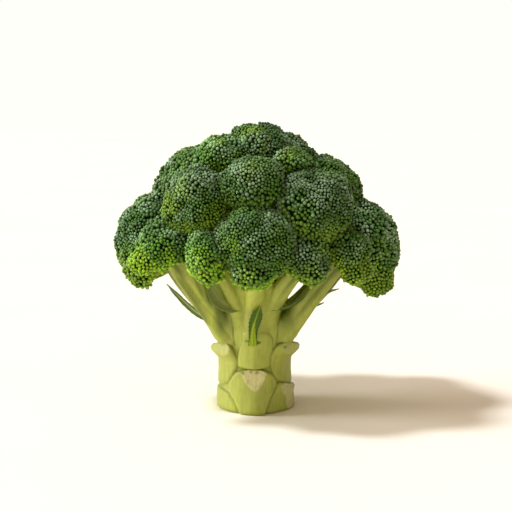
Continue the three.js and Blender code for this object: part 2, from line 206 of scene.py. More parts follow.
def poly_distance(s, z, outline):
    """Signed distance to a closed outline, negative inside."""
    pts = np.array(outline, float)
    d2 = np.full(s.shape, 1e9)
    inside = np.zeros(s.shape, bool)
    n = len(pts)
    for i in range(n):
        ax, ay = pts[i]
        bx, by = pts[(i + 1) % n]
        ex, ey = bx - ax, by - ay
        wx, wy = s - ax, z - ay
        h = np.clip((wx * ex + wy * ey) / (ex * ex + ey * ey), 0, 1)
        d2 = np.minimum(d2, (wx - ex * h) ** 2 + (wy - ey * h) ** 2)
        c = (ay > z) != (by > z)
        with np.errstate(divide="ignore", invalid="ignore"):
            inside ^= c & (s < ex * (z - ay) / (ey if ey != 0 else 1e-9) + ax)
    return np.where(inside, -1, 1) * np.sqrt(d2)


def rounded(outline, n=3):
    """An outline with its corners eased by corner cutting."""
    p = np.array(outline, float)
    for _ in range(n):
        q = np.roll(p, -1, axis=0)
        p = np.stack([0.8 * p + 0.2 * q, 0.2 * p + 0.8 * q], axis=1).reshape(-1, 2)
    return p


ARC = 21.0
for _c in CUSHIONS.values():
    _o = np.array(_c["outline"], float)
    _o[:, 0] = np.radians(_o[:, 0]) * ARC
    _c["line"] = rounded(_o, 2)
    _c["centre"] = _o[:, 0].mean()


def polar(P):
    z = P[:, 2]
    x = P[:, 0] + 0.6 * np.sin(np.pi * np.clip(z / 40, 0, 1))
    y = P[:, 1]
    rho = np.hypot(x, y)
    theta = np.arctan2(x, -y)
    return rho, theta, z


def trunk(P, want_marks=False):
    rho, theta, z = polar(P)
    base = np.interp(z, Z_R0, V_R0)
    base = base * (1 + 0.012 * np.cos(3 * theta + 0.6) + 0.008 * np.cos(5 * theta - 0.8))
    base = base + 0.25 * (noise(np.stack([np.cos(theta) * 2, np.sin(theta) * 2, z / 14], 1), 1.0, 11) - 0.5)
    deg_all = np.degrees(theta)
    ridge = 2.6 * np.clip(1 - np.abs(deg_all + 0.5) / 24, 0, 1) * smooth(62, 50, z) * smooth(38, 46, z)
    for a0, a1 in ((-34, -32), (35, 36)):        # furrows each side of the front column
        ridge = ridge - 0.75 * np.exp(-((deg_all - a0) / 2.2) ** 2) * smooth(36.5, 39, z) * smooth(61, 56, z)
    ridge = ridge - 1.3 * np.exp(-((deg_all - 1.5) / 26) ** 2) * smooth(17, 20, z) * smooth(27.0, 25.2, z)   # behind the front scar
    f = (rho - base - ridge) * 0.95
    core = f.copy()
    line = np.full(z.shape, 9.0)
    scar = np.zeros(z.shape)
    for c in CUSHIONS.values():
        s = theta * ARC
        half = math.pi * ARC
        s = (s - c["centre"] + half) % (2 * half) - half + c["centre"]
        near = (core < 7) & (core > -4)
        if not near.any():
            continue
        sn, zn = s[near], z[near]
        d = poly_distance(sn, zn, c["line"])
        deg = np.degrees(sn / ARC)
        h = np.full(sn.shape, c["proud"])
        h = h * smooth(0.3, -1.5, d) + 0.2
        if "keel" in c:
            k0, kh, kw = c["keel"]
            h = h + kh * np.clip(1 - np.abs(deg - k0) / kw, 0, 1)
        if "stub" in c:
            s0, sh, sw, zt = c["stub"]
            round_way = smooth(sw * 1.45, sw * 0.55, np.abs(deg - s0))
            h = h + sh * round_way * np.clip((zn - (zt - 8.0)) / 4.6, 0, 1)
        fc = (rho[near] - base[near] - h) * 0.90
        fc = smax(fc, d, 0.35)
        if "scar" in c:
            nrm, off = c["scar"]
            pl = P[near] @ np.array(nrm) - off
            cut = smax(fc, pl, 0.12)
            if want_marks:
                m = smooth(0.34, 0.16, np.abs(pl)) * (d < -0.15) * (fc > -30)
                scar[near] = np.maximum(scar[near], m * ((0.32 if c["stub"][1] > 3 else 0.85) if "stub" in c else 1.0))
            fc = cut
        g = f[near]
        f[near] = smin(g, fc, 0.18)
        if want_marks:
            line[near] = np.minimum(line[near], np.abs(d))
    for a, pz, pr, prad in PITS:
        t = math.radians(a)
        c0 = np.array([math.sin(t) * pr - 0.6, -math.cos(t) * pr, pz])
        f = smax(f, prad - np.linalg.norm((P - c0) * np.array([0.5, 0.7, 1.3]), axis=1), 0.3)
    f = smax(f, -z, 0.5)
    if want_marks:
        return f, line, scar
    return f, core


# ridges run along a stem: how many, how deep a part of its radius, where they start
FLUTES = {"left": (5, 0.30, 3.23), "right": (5, 0.30, 0.5), "front": (4, 0.18, 1.57), "left_front": (4, 0.28, 0.8),
          "right_front": (4, 0.28, 2.2), "upper_left": (4, 0.18, 0.0), "upper_right": (4, 0.18, 0.4)}
SEGS = []
for _i, (_n, (_p, _r)) in enumerate(STEMS.items()):
    _pts, _rad = curve(_p, _r, 12)
    _n1 = unit(np.cross(_pts[1] - _pts[0], [0.0, 1.0, 0.05]))
    _frames = []
    for _k in range(len(_pts) - 1):
        _t = unit(_pts[_k + 1] - _pts[_k])
        _n1 = unit(_n1 - _t * (_n1 @ _t))
        _frames.append((_n1, np.cross(_t, _n1)))
    SEGS.append((_n, _pts, _rad, _frames, FLUTES.get(_n, (4, 0.18, 0.7 * _i))))


def field(P, lo=None, hi=None, trunk_too=True):
    if lo is None:
        lo, hi = P.min(0), P.max(0)
    acc = np.full(len(P), 12.0)
    for name, pts, rad, frames, (fn, fd, fp) in SEGS:
        d = None
        for i in range(len(pts) - 1):
            a, b = pts[i], pts[i + 1]
            reach = max(rad[i], rad[i + 1]) + 7
            if (np.minimum(a, b) - reach > hi).any() or (np.maximum(a, b) + reach < lo).any():
                continue
            e = b - a
            w = P - a
            h = np.clip((w @ e) / (e @ e), 0, 1)
            out = w - h[:, None] * e
            turn = np.arctan2(out @ frames[i][1], out @ frames[i][0])
            flute = 1 + fd * (np.abs(np.cos(0.5 * fn * (turn + fp))) ** 0.7 - 0.74)
            dd = (np.linalg.norm(out, axis=1) - (rad[i] + (rad[i + 1] - rad[i]) * h) * flute) * 0.95
            d = dd if d is None else np.minimum(d, dd)
        if d is not None:
            d = d + 1.2 * smooth(40.0, 37.0, P[:, 2])      # the feet of the stems end above the ledges
            acc = smin(acc, d, 1.6)
    if trunk_too and lo[2] < 66 and lo[0] < 32 and hi[0] > -32 and lo[1] < 32 and hi[1] > -32:
        full, core = trunk(P)
        acc = smin(acc, core, 2.4)
        acc = smin(acc, full, 0.25)
        acc = np.maximum(acc, -P[:, 2])
    return acc


def graded(lo, hi, fine_lo, fine_hi, fine, coarse):
    out = [fine_lo]
    while out[-1] < fine_hi:
        out.append(out[-1] + fine)
    step = fine
    while out[-1] < hi:
        step = min(coarse, step * 1.12)
        out.append(out[-1] + step)
    step = fine
    front = [fine_lo]
    while front[-1] > lo:
        step = min(coarse, step * 1.12)
        front.append(front[-1] - step)
    return np.array(front[:0:-1] + out)


def surface_net(xs, ys, zs, F):
    """The closed surface F = 0 as quads: one vertex in each cell that the surface crosses."""
    neg = F < 0
    nx, ny, nz = F.shape
    c = np.zeros((nx - 1, ny - 1, nz - 1), np.uint8)
    for i in (0, 1):
        for j in (0, 1):
            for k in (0, 1):
                c += neg[i:nx - 1 + i, j:ny - 1 + j, k:nz - 1 + k]
    act = np.argwhere((c > 0) & (c < 8))
    index = np.full(c.shape, -1, np.int64)
    index[act[:, 0], act[:, 1], act[:, 2]] = np.arange(len(act))
    acc = np.zeros((len(act), 3))
    cnt = np.zeros(len(act))
    corners = [(i, j, k) for i in (0, 1) for j in (0, 1) for k in (0, 1)]
    for a in corners:
        for axis in range(3):
            if a[axis]:
                continue
            b = list(a)
            b[axis] = 1
            ia = act + np.array(a)
            ib = act + np.array(b)
            fa = F[ia[:, 0], ia[:, 1], ia[:, 2]]
            fb = F[ib[:, 0], ib[:, 1], ib[:, 2]]
            m = (fa < 0) != (fb < 0)
            t = np.where(m, fa / np.where(m, fa - fb, 1), 0)
            pa = np.stack([xs[ia[:, 0]], ys[ia[:, 1]], zs[ia[:, 2]]], 1)
            pb = np.stack([xs[ib[:, 0]], ys[ib[:, 1]], zs[ib[:, 2]]], 1)
            acc += np.where(m[:, None], pa + t[:, None] * (pb - pa), 0)
            cnt += m
    verts = acc / cnt[:, None]
    quads = []
    for axis in range(3):
        sl0 = [slice(None)] * 3
        sl1 = [slice(None)] * 3
        sl0[axis] = slice(0, -1)
        sl1[axis] = slice(1, None)
        change = neg[tuple(sl0)] != neg[tuple(sl1)]
        e = np.argwhere(change)
        o1, o2 = (axis + 1) % 3, (axis + 2) % 3
        ok = (e[:, o1] > 0) & (e[:, o2] > 0) & (e[:, o1] < F.shape[o1] - 1) & (e[:, o2] < F.shape[o2] - 1)
        e = e[ok]
        first_in = neg[e[:, 0], e[:, 1], e[:, 2]]
        ring = []
        for d1, d2 in ((0, 0), (-1, 0), (-1, -1), (0, -1)):
            q = e.copy()
            q[:, o1] += d1
            q[:, o2] += d2
            ring.append(index[q[:, 0], q[:, 1], q[:, 2]])
        quad = np.stack(ring, 1)
        quad[~first_in] = quad[~first_in][:, ::-1]
        quads.append(quad)
    return verts, np.vstack(quads)


def make_mesh(name, verts, faces, smooth_shade=True, colours=None, extra=None):
    mesh = bpy.data.meshes.new(name)
    verts = np.asarray(verts, np.float64) * MM
    faces = np.asarray(faces, np.int64)
    n, k = faces.shape
    mesh.vertices.add(len(verts))
    mesh.vertices.foreach_set("co", verts.astype(np.float32).ravel())
    mesh.loops.add(n * k)
    mesh.loops.foreach_set("vertex_index", faces.astype(np.int32).ravel())
    mesh.polygons.add(n)
    mesh.polygons.foreach_set("loop_start", np.arange(0, n * k, k, dtype=np.int32))
    mesh.update(calc_edges=True)
    mesh.validate()
    if smooth_shade:
        mesh.polygons.foreach_set("use_smooth", np.ones(len(mesh.polygons), bool))
    if colours is not None:
        for key, value in colours.items():
            at = mesh.color_attributes.new(key, "FLOAT_COLOR", "POINT")
            rgba = np.ones((len(verts), 4), np.float32)
            rgba[:, :3] = value
            at.data.foreach_set("color", rgba.ravel())
    obj = bpy.data.objects.new(name, mesh)
    bpy.context.scene.collection.objects.link(obj)
    return obj


def srgb(r, g, b):
    """Linear values for a colour given as 0..255 display values."""
    c = np.array([r, g, b], float) / 255
    return np.where(c <= 0.04045, c / 12.92, ((c + 0.055) / 1.055) ** 2.4)


def build_skin():
    fine = 0.72
    xs = graded(-60, 60, -27, 27, fine, fine * 1.75)
    ys = graded(-62, 58, -34, 12, fine, fine * 1.75)
    zs = graded(-1.4, 136, -1.4 + 0.07, 62, fine, fine * 1.75)
    zs = np.r_[zs[0] - fine, zs] if zs[0] > -1.0 else zs
    F = np.full((len(xs), len(ys), len(zs)), 12.0, np.float32)
    B = 18
    for i0 in range(0, len(xs), B):
        for j0 in range(0, len(ys), B):
            for k0 in range(0, len(zs), B):
                x, y, z = xs[i0:i0 + B], ys[j0:j0 + B], zs[k0:k0 + B]
                lo = np.array([x[0], y[0], z[0]])
                hi = np.array([x[-1], y[-1], z[-1]])
                hit = z[0] < 60 and x[0] < 30 and x[-1] > -30 and y[0] < 30 and y[-1] > -30
                if not hit:
                    for name, pts, rad, _fr, _fl in SEGS:
                        if ((pts + rad[:, None] + 2 > lo) & (pts - rad[:, None] - 2 < hi)).all(1).any():
                            hit = True
                            break
                        mid = (pts[1:] + pts[:-1]) / 2
                        if ((mid + rad[1:, None] + 4 > lo) & (mid - rad[1:, None] - 4 < hi)).all(1).any():
                            hit = True
                            break
                if not hit:
                    continue
                G = np.stack(np.meshgrid(x, y, z, indexing="ij"), -1)
                F[i0:i0 + B, j0:j0 + B, k0:k0 + B] = field(G.reshape(-1, 3), lo, hi).reshape(G.shape[:3])
    verts, quads = surface_net(xs, ys, zs, F)
    # pull each vertex on to the true surface
    for _ in range(2):
        e = 0.05
        f0 = np.zeros(len(verts))
        g = np.zeros((len(verts), 3))
        order = np.lexsort((verts[:, 0] // 12, verts[:, 1] // 12, verts[:, 2] // 12))
        for part in np.array_split(order, max(1, len(order) // 4000)):
            P = verts[part]
            lo, hi = P.min(0) - 1, P.max(0) + 1
            f0[part] = field(P, lo, hi)
            for a in range(3):
                q = P.copy()
                q[:, a] += e
                g[part, a] = (field(q, lo, hi) - f0[part]) / e
        gn = np.maximum((g * g).sum(1), 0.25)
        step = np.clip(f0 / gn, -0.3, 0.3)[:, None] * g
        flat = np.abs(verts[:, 2]) < 0.05
        step[flat, 2] = 0
        verts = verts - step * 0.9
    verts[:, 2] = np.maximum(verts[:, 2], 0)
    return verts, quads


def stem_groove(P):
    """How deep in a furrow of its nearest stem each point lies, 0 on a ridge to 1."""
    best = np.full(len(P), 1e9)
    g = np.zeros(len(P))
    for name, pts, rad, frames, (fn, fd, fp) in SEGS:
        for i in range(len(pts) - 1):
            a, b = pts[i], pts[i + 1]
            e = b - a
            w = P - a
            h = np.clip((w @ e) / (e @ e), 0, 1)
            out = w - h[:, None] * e
            d = np.abs(np.linalg.norm(out, axis=1) - (rad[i] + (rad[i + 1] - rad[i]) * h))
            m = d < best
            if not m.any():
                continue
            turn = np.arctan2(out[m] @ frames[i][1], out[m] @ frames[i][0])
            best[m] = d[m]
            g[m] = 1 - np.abs(np.cos(0.5 * fn * (turn + fp))) ** 0.7
    return smooth(0.12, 0.75, g)


def paint_skin(verts):
    """Colour of the skin at each vertex, with its marks mixed in."""
    rho, theta, z = polar(verts)
    f, line, scar = trunk(verts, True)
    near = smooth(1.4, 0.2, np.abs(f))
    low = smooth(62, 34, z)
    tint = np.array([0.66, 0.70, 0.36])
    bright = srgb(196, 202, 104) * tint
    deep = srgb(150, 158, 62) * tint
    pale = srgb(206, 208, 132) * tint
    olive = srgb(112, 124, 22) * tint
    n1 = noise(verts * np.array([1, 1, 0.25]), 5.0, 3)[:, None]
    n2 = noise(verts * np.array([1, 1, 0.4]), 1.8, 5)[:, None]
    n3 = noise(verts, 9.0, 8)[:, None]
    col = bright * (1 - n1) + pale * n1
    # greener up the stems, least on the front branch; more olive deep in each stem's furrows, which is painted shade
    side = smooth(9, 20, np.hypot(verts[:, 0], np.maximum(verts[:, 1] + 6, 0) * 1.2))
    groove = stem_groove(verts)
    up = (smooth(44, 70, z) * (0.12 + 0.88 * side))[:, None] * (0.60 + 0.36 * n3) * (0.45 + 0.85 * groove[:, None])
    up = np.maximum(up, (0.8 * smooth(46, 62, z) * groove * (0.3 + 0.7 * side))[:, None])
    x = verts[:, 0]
    fore = smooth(-6, -12, verts[:, 1])
    # painted shade: olive patches on the shaded panels each side of the front column and under the leaves
    for px, pz, pw, ph, ps in ((-18.4, 55.5, 4.8, 9.5, 1.25), (-24.2, 66.0, 3.4, 7.0, 0.9), (16.8, 56.5, 5.4, 9.0, 1.2), (-31.0, 76.0, 3.6, 8.0, 0.6), (31.0, 70.0, 4.0, 9.0, 0.6)):
        up = np.maximum(up, (ps * fore * np.exp(-((x - px) / pw) ** 2 - ((z - pz) / ph) ** 2))[:, None])
    # painted light: a lighter, less olive stripe along the lit ridge of the left branch and down the left of the front
    # column
    line_x = np.interp(z, [44, 48, 55.3, 62.5, 69.5, 80], [-20.5, -21.6, -24.2, -28.2, -32.0, -39.0])
    painted_ridge_light = np.exp(-((x - line_x) / 2.1) ** 2) * smooth(46, 53, z) * smooth(84, 74, z) * fore
    painted_ridge_light = np.maximum(painted_ridge_light, np.exp(-((x + 3.5) / 3.4) ** 2) * smooth(56, 62, z) * fore)
    up = up * (1 - 0.8 * painted_ridge_light)[:, None]
    # painted light: the shaded crotches between the stems, 8 to 38 mm out each side and 52 to 84 mm up, lose most of
    # their olive and are made up to 1.9 times as light
    lift = smooth(-17, -11, verts[:, 1]) * smooth(26, 20, verts[:, 1]) * smooth(8, 13, np.abs(x)) * smooth(38, 31, np.abs(x)) * smooth(52, 57, z) * smooth(84, 77, z)
    up = up * (1 - 0.85 * lift)[:, None]
    rim_x = np.exp(-((x - line_x + 4.6) / 2.3) ** 2) * smooth(46, 53, z) * smooth(84, 74, z)
    up = np.maximum(up, (0.85 * rim_x)[:, None])
    up = np.clip(up, 0, 0.98)
    col = col * (1 + 0.30 * painted_ridge_light)[:, None]
    col = col * (1 + 0.9 * lift)[:, None]
    col = col * (1 - up) + olive * up
    streak = smooth(0.45, 0.85, n2[:, 0])[:, None] * 0.25
    col = col * (1 - streak) + deep * streak
    base_rim = smooth(3.0, 0.3, z)[:, None] * 0.55
    col = col * (1 - base_rim) + srgb(150, 158, 54) * tint * base_rim
    # painted crease shade: dark lines along each cushion's outline, patchy and fading out between 43 and 49 mm up, with
    # a paler band about 1 mm off, and dark lines in the furrows beside the front column
    line_strength = (0.45 + 0.55 * noise(verts, 4.0, 15)) * smooth(49, 43, z)
    mark = np.exp(-(line / 0.34) ** 2) * near * line_strength
    halo = np.exp(-((line - 1.0) / 0.55) ** 2) * near * line_strength * 0.3
    deg = np.degrees(theta)
    for a0 in (-34.0, 35.0):
        mark = np.maximum(mark, np.exp(-((deg - a0) / 1.1) ** 2) * smooth(37, 39, z) * smooth(61, 57, z) * (rho < 26) * 1.2)
    col = col * (1 - halo[:, None]) + pale * halo[:, None]
    col = col * (1 - 0.6 * np.clip(mark, 0, 1.2)[:, None]) + srgb(84, 98, 30) * tint * 0.6 * np.clip(mark, 0, 1.2)[:, None]
    pith = srgb(216, 209, 156) * np.array([0.96, 0.97, 0.92])
    grain = smooth(0.60, 0.8, noise(verts, 0.9, 21)) * 0.22
    rim_dots = smooth(0.50, 0.72, noise(verts, 1.1, 23)) * np.exp(-((line - 1.3) / 0.9) ** 2) * 0.8
    grain = np.maximum(grain, rim_dots)[:, None]
    pithc = pith * (1 - grain) + srgb(140, 132, 66) * tint * grain
    s = (np.clip(scar, 0, 1) * near)[:, None] * 0.92
    col = col * (1 - s) + pithc * s
    under = (z < 0.06)[:, None] * 1.0
    rr = (rho / 21.0)
    ring = np.exp(-((rr - 0.84) / 0.05) ** 2)[:, None]
    ub = srgb(206, 208, 150) * 0.75 * (1 - 0.5 * ring) + srgb(150, 164, 84) * 0.75 * 0.5 * ring
    col = col * (1 - under) + ub * under
    for a, pz, pr, prad in PITS:
        t = math.radians(a)
        c0 = np.array([math.sin(t) * pr - 0.6, -math.cos(t) * pr, pz])
        m = smooth(prad + 0.6, prad - 0.1, np.linalg.norm((verts - c0) * np.array([0.5, 0.7, 1.3]), axis=1))[:, None] * 0.9
        col = col * (1 - m) + srgb(88, 120, 36) * m
    return np.clip(col, 0, 1)


# ------------------------------------------------------------------ materials
def new_material(name):
    m = bpy.data.materials.new(name)
    m.use_nodes = True
    nt = m.node_tree
    nt.nodes.clear()
    out = nt.nodes.new("ShaderNodeOutputMaterial")
    bs = nt.nodes.new("ShaderNodeBsdfPrincipled")
    nt.links.new(bs.outputs["BSDF"], out.inputs["Surface"])
    return m, nt, bs


def node(nt, kind, **values):
    n = nt.nodes.new(kind)
    for k, v in values.items():
        if k in n.inputs.keys():
            n.inputs[k].default_value = v
        else:
            setattr(n, k, v)
    return n


def ramp(nt, stops):
    n = nt.nodes.new("ShaderNodeValToRGB")
    while len(n.color_ramp.elements) > len(stops):
        n.color_ramp.elements.remove(n.color_ramp.elements[-1])
    while len(n.color_ramp.elements) < len(stops):
        n.color_ramp.elements.new(0.5)
    for e, (p, c) in zip(n.color_ramp.elements, stops):
        e.position = p
        e.color = (*c, 1) if len(c) == 3 else c
    return n


def stalk_material():
    m, nt, bs = new_material("stalk_skin")
    L = nt.links
    at = node(nt, "ShaderNodeAttribute", attribute_name="Col")
    tc = node(nt, "ShaderNodeTexCoord")
    mp = node(nt, "ShaderNodeMapping")
    mp.inputs["Scale"].default_value = (1, 1, 0.12)
    L.new(tc.outputs["Object"], mp.inputs["Vector"])
    fib = node(nt, "ShaderNodeTexNoise", Scale=900.0, Detail=4.0, Roughness=0.6)
    L.new(mp.outputs["Vector"], fib.inputs["Vector"])
    fr = ramp(nt, [(0.36, (0.86, 0.88, 0.80)), (0.64, (1.06, 1.05, 1.04))])
    L.new(fib.outputs["Fac"], fr.inputs["Fac"])
    mul = node(nt, "ShaderNodeMixRGB", blend_type="MULTIPLY")
    mul.inputs["Fac"].default_value = 0.8
    L.new(at.outputs["Color"], mul.inputs["Color1"])
    L.new(fr.outputs["Color"], mul.inputs["Color2"])
    blot = node(nt, "ShaderNodeTexNoise", Scale=170.0, Detail=3.0, Roughness=0.55)
    L.new(tc.outputs["Object"], blot.inputs["Vector"])
    br = ramp(nt, [(0.35, (0.93, 0.95, 0.88)), (0.65, (1.05, 1.04, 1.05))])
    L.new(blot.outputs["Fac"], br.inputs["Fac"])
    mul2 = node(nt, "ShaderNodeMixRGB", blend_type="MULTIPLY")
    mul2.inputs["Fac"].default_value = 0.7
    L.new(mul.outputs["Color"], mul2.inputs["Color1"])
    L.new(br.outputs["Color"], mul2.inputs["Color2"])
    L.new(mul2.outputs["Color"], bs.inputs["Base Color"])
    rr = ramp(nt, [(0.3, (0.40, 0.40, 0.40)), (0.7, (0.56, 0.56, 0.56))])
    L.new(blot.outputs["Fac"], rr.inputs["Fac"])
    L.new(rr.outputs["Color"], bs.inputs["Roughness"])
    bump = node(nt, "ShaderNodeBump", Strength=0.16, Distance=0.0006)
    L.new(fib.outputs["Fac"], bump.inputs["Height"])
    L.new(bump.outputs["Normal"], bs.inputs["Normal"])
    bs.inputs["Subsurface Weight"].default_value = 0.12
    bs.inputs["Subsurface Radius"].default_value = (1.0, 0.9, 0.35)
    bs.inputs["Subsurface Scale"].default_value = 0.0022
    bs.inputs["Specular IOR Level"].default_value = 0.42
    return m


def bud_material():
    m, nt, bs = new_material("flower_buds")
    L = nt.links
    at = node(nt, "ShaderNodeAttribute", attribute_name="Col")
    tc = node(nt, "ShaderNodeTexCoord")
    n1 = node(nt, "ShaderNodeTexNoise", Scale=1500.0, Detail=3.0, Roughness=0.6)
    L.new(tc.outputs["Object"], n1.inputs["Vector"])
    fr = ramp(nt, [(0.34, (0.82, 0.86, 0.80)), (0.66, (1.12, 1.1, 1.14))])
    L.new(n1.outputs["Fac"], fr.inputs["Fac"])
    mul = node(nt, "ShaderNodeMixRGB", blend_type="MULTIPLY")
    mul.inputs["Fac"].default_value = 0.7
    L.new(at.outputs["Color"], mul.inputs["Color1"])
    L.new(fr.outputs["Color"], mul.inputs["Color2"])
    L.new(mul.outputs["Color"], bs.inputs["Base Color"])
    rr = ramp(nt, [(0.3, (0.50, 0.50, 0.50)), (0.7, (0.66, 0.66, 0.66))])
    L.new(n1.outputs["Fac"], rr.inputs["Fac"])
    L.new(rr.outputs["Color"], bs.inputs["Roughness"])
    bump = node(nt, "ShaderNodeBump", Strength=0.25, Distance=0.0003)
    L.new(n1.outputs["Fac"], bump.inputs["Height"])
    L.new(bump.outputs["Normal"], bs.inputs["Normal"])
    bs.inputs["Sheen Weight"].default_value = 0.0
    bs.inputs["Specular IOR Level"].default_value = 0.30
    return m


def core_material():
    m, nt, bs = new_material("floret_inside")
    L = nt.links
    at = node(nt, "ShaderNodeAttribute", attribute_name="Col")
    tc = node(nt, "ShaderNodeTexCoord")
    n1 = node(nt, "ShaderNodeTexNoise", Scale=700.0, Detail=4.0, Roughness=0.6)
    L.new(tc.outputs["Object"], n1.inputs["Vector"])
    fr = ramp(nt, [(0.34, (0.75, 0.78, 0.72)), (0.66, (1.12, 1.1, 1.1))])
    L.new(n1.outputs["Fac"], fr.inputs["Fac"])
    mul = node(nt, "ShaderNodeMixRGB", blend_type="MULTIPLY")
    mul.inputs["Fac"].default_value = 0.8
    L.new(at.outputs["Color"], mul.inputs["Color1"])
    L.new(fr.outputs["Color"], mul.inputs["Color2"])
    L.new(mul.outputs["Color"], bs.inputs["Base Color"])
    rr = ramp(nt, [(0.3, (0.55, 0.55, 0.55)), (0.7, (0.75, 0.75, 0.75))])
    L.new(n1.outputs["Fac"], rr.inputs["Fac"])
    L.new(rr.outputs["Color"], bs.inputs["Roughness"])
    bump = node(nt, "ShaderNodeBump", Strength=0.4, Distance=0.0006)
    L.new(n1.outputs["Fac"], bump.inputs["Height"])
    L.new(bump.outputs["Normal"], bs.inputs["Normal"])
    bs.inputs["Specular IOR Level"].default_value = 0.03
    return m


def leaf_material():
    m, nt, bs = new_material("leaf_blade")
    L = nt.links
    at = node(nt, "ShaderNodeAttribute", attribute_name="Col")
    tc = node(nt, "ShaderNodeTexCoord")
    vor = node(nt, "ShaderNodeTexVoronoi", Scale=650.0)
    vor.feature = "DISTANCE_TO_EDGE"
    L.new(tc.outputs["Object"], vor.inputs["Vector"])
    fr = ramp(nt, [(0.0, (1.25, 1.22, 1.05)), (0.18, (0.95, 0.96, 0.95))])
    L.new(vor.outputs["Distance"], fr.inputs["Fac"])
    mul = node(nt, "ShaderNodeMixRGB", blend_type="MULTIPLY")
    mul.inputs["Fac"].default_value = 0.6
    L.new(at.outputs["Color"], mul.inputs["Color1"])
    L.new(fr.outputs["Color"], mul.inputs["Color2"])
    L.new(mul.outputs["Color"], bs.inputs["Base Color"])
    n1 = node(nt, "ShaderNodeTexNoise", Scale=500.0, Detail=3.0)
    L.new(tc.outputs["Object"], n1.inputs["Vector"])
    rr = ramp(nt, [(0.3, (0.42, 0.42, 0.42)), (0.7, (0.58, 0.58, 0.58))])
    L.new(n1.outputs["Fac"], rr.inputs["Fac"])
    L.new(rr.outputs["Color"], bs.inputs["Roughness"])
    bump = node(nt, "ShaderNodeBump", Strength=0.3, Distance=0.0004)
    L.new(vor.outputs["Distance"], bump.inputs["Height"])
    L.new(bump.outputs["Normal"], bs.inputs["Normal"])
    bs.inputs["Specular IOR Level"].default_value = 0.22
    return m


# ------------------------------------------------------------------ florets
def floret_axis(c):
    c = np.array(c, float)
    return unit(c - np.array([0, 0, 0.45 * c[2] + 5]))


def reach(size, d):
    return 1 / np.sqrt(((d / np.array(size)) ** 2).sum(-1))


def fib_dirs(n):
    i = np.arange(n) + 0.5
    z = 1 - 2 * i / n
    a = i * math.pi * (3 - math.sqrt(5))
    r = np.sqrt(1 - z * z)
    return np.stack([r * np.cos(a), r * np.sin(a), z], 1)


class Floret:
    def __init__(self, name, seed, lobe=None):
        self.name = name
        at, size = FLORETS[name] if lobe is None else lobe[1:]
        self.c = np.array(at, float)
        self.size = np.array(size, float)
        self.axis = floret_axis(at)
        if lobe is not None:
            self.axis = unit(self.axis + unit(self.c - np.array(FLORETS[lobe[0]][0])) * 0.6)
        self.rmean = float(self.size.mean())
        self.rng = np.random.default_rng(seed)
        self.seed = seed
        self.planes = []
        for other, (oat, osize) in FLORETS.items():
            if other == name or lobe is not None:
                continue
            d = np.array(oat, float) - self.c
            L = np.linalg.norm(d)
            d = d / L
            ri, rj = float(reach(self.size, d)), float(reach(osize, d))
            if L > ri + rj + 2.5:
                continue
            s = (L * L + ri * ri - rj * rj) / (2 * L)
            self.planes.append((d, min(s - 0.5, ri + 1)))
        # little mounds over the dome, each a sub-cluster of buds
        n = max(20, int(4 * math.pi * self.rmean ** 2 / 40))
        dirs = unit(fib_dirs(n) + self.rng.normal(0, 0.55 / math.sqrt(n), (n, 3)))
        self.mounds = dirs
        self.mound_h = 0.9 + 1.0 * self.rng.random(n)
        n2 = max(8, int(4 * math.pi * self.rmean ** 2 / 230))
        self.lumps = unit(fib_dirs(n2) + self.rng.normal(0, 0.7 / math.sqrt(n2), (n2, 3)))
        self.lump_h = 0.7 + 1.4 * self.rng.random(n2)

    def bump(self, u):
        R = self.rmean
        cosm = u @ self.mounds.T
        k = cosm.argmax(1)
        ang = np.arccos(np.clip(cosm[np.arange(len(u)), k], -1, 1)) * R
        b = self.mound_h[k] * (1 - (ang / 4.0) ** 2)
        cosl = u @ self.lumps.T
        k2 = cosl.argmax(1)
        ang2 = np.arccos(np.clip(cosl[np.arange(len(u)), k2], -1, 1)) * R
        b2 = self.lump_h[k2] * (1 - (ang2 / 9.5) ** 2)
        return np.clip(b, -1.2, 2) + np.clip(b2, -1.4, 2)

    def radius(self, u, raw=False):
        """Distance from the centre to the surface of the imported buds, along u."""
        ell = reach(self.size, u) - 2.3
        low = u @ self.axis
        edge = noise(u * 3.1, 1.0, self.seed + 7) - 0.5
        ell = ell * (1 + 0.13 * (noise(u * 1.7, 1.0, self.seed + 3) - 0.5))
        ell = ell + self.bump(u)
        lift = 0
        for d, s in self.planes:
            lift = np.maximum(lift, np.exp(-np.clip(s - ell * (u @ d), 0, 20) / 2.4) * (u @ d > 0.1))
        ell = ell + 1.8 * lift
        under = np.where(low < -0.02, (0.40 + 0.10 * edge) * self.rmean / np.maximum(-low, 0.02), 1e6)
        p = 20.0
        inv = ell ** -p + under ** -p
        for d, s in self.planes:
            c = u @ d
            r = np.where(c > 0.03, s / np.maximum(c, 0.03), 1e6)
            inv = inv + r ** -p
        R = inv ** (-1 / p)
        if raw:
            return R, ell, under
        return R

    def point(self, u):
        return self.c + u * self.radius(u)[:, None]

    def normal(self, u, eps=0.012):
        t = np.cross(u, np.where(np.abs(u[:, 2:3]) < 0.9, np.array([[0, 0, 1.0]]), np.array([[1.0, 0, 0]])))
        t = unit(t)
        b = np.cross(u, t)
        pa = self.point(unit(u + eps * t))
        pb = self.point(unit(u - eps * t))
        pc = self.point(unit(u + eps * b))
        pd = self.point(unit(u - eps * b))
        n = np.cross(pa - pb, pc - pd)
        n = unit(n)
        return np.where((n * u).sum(1, keepdims=True) < 0, -n, n)


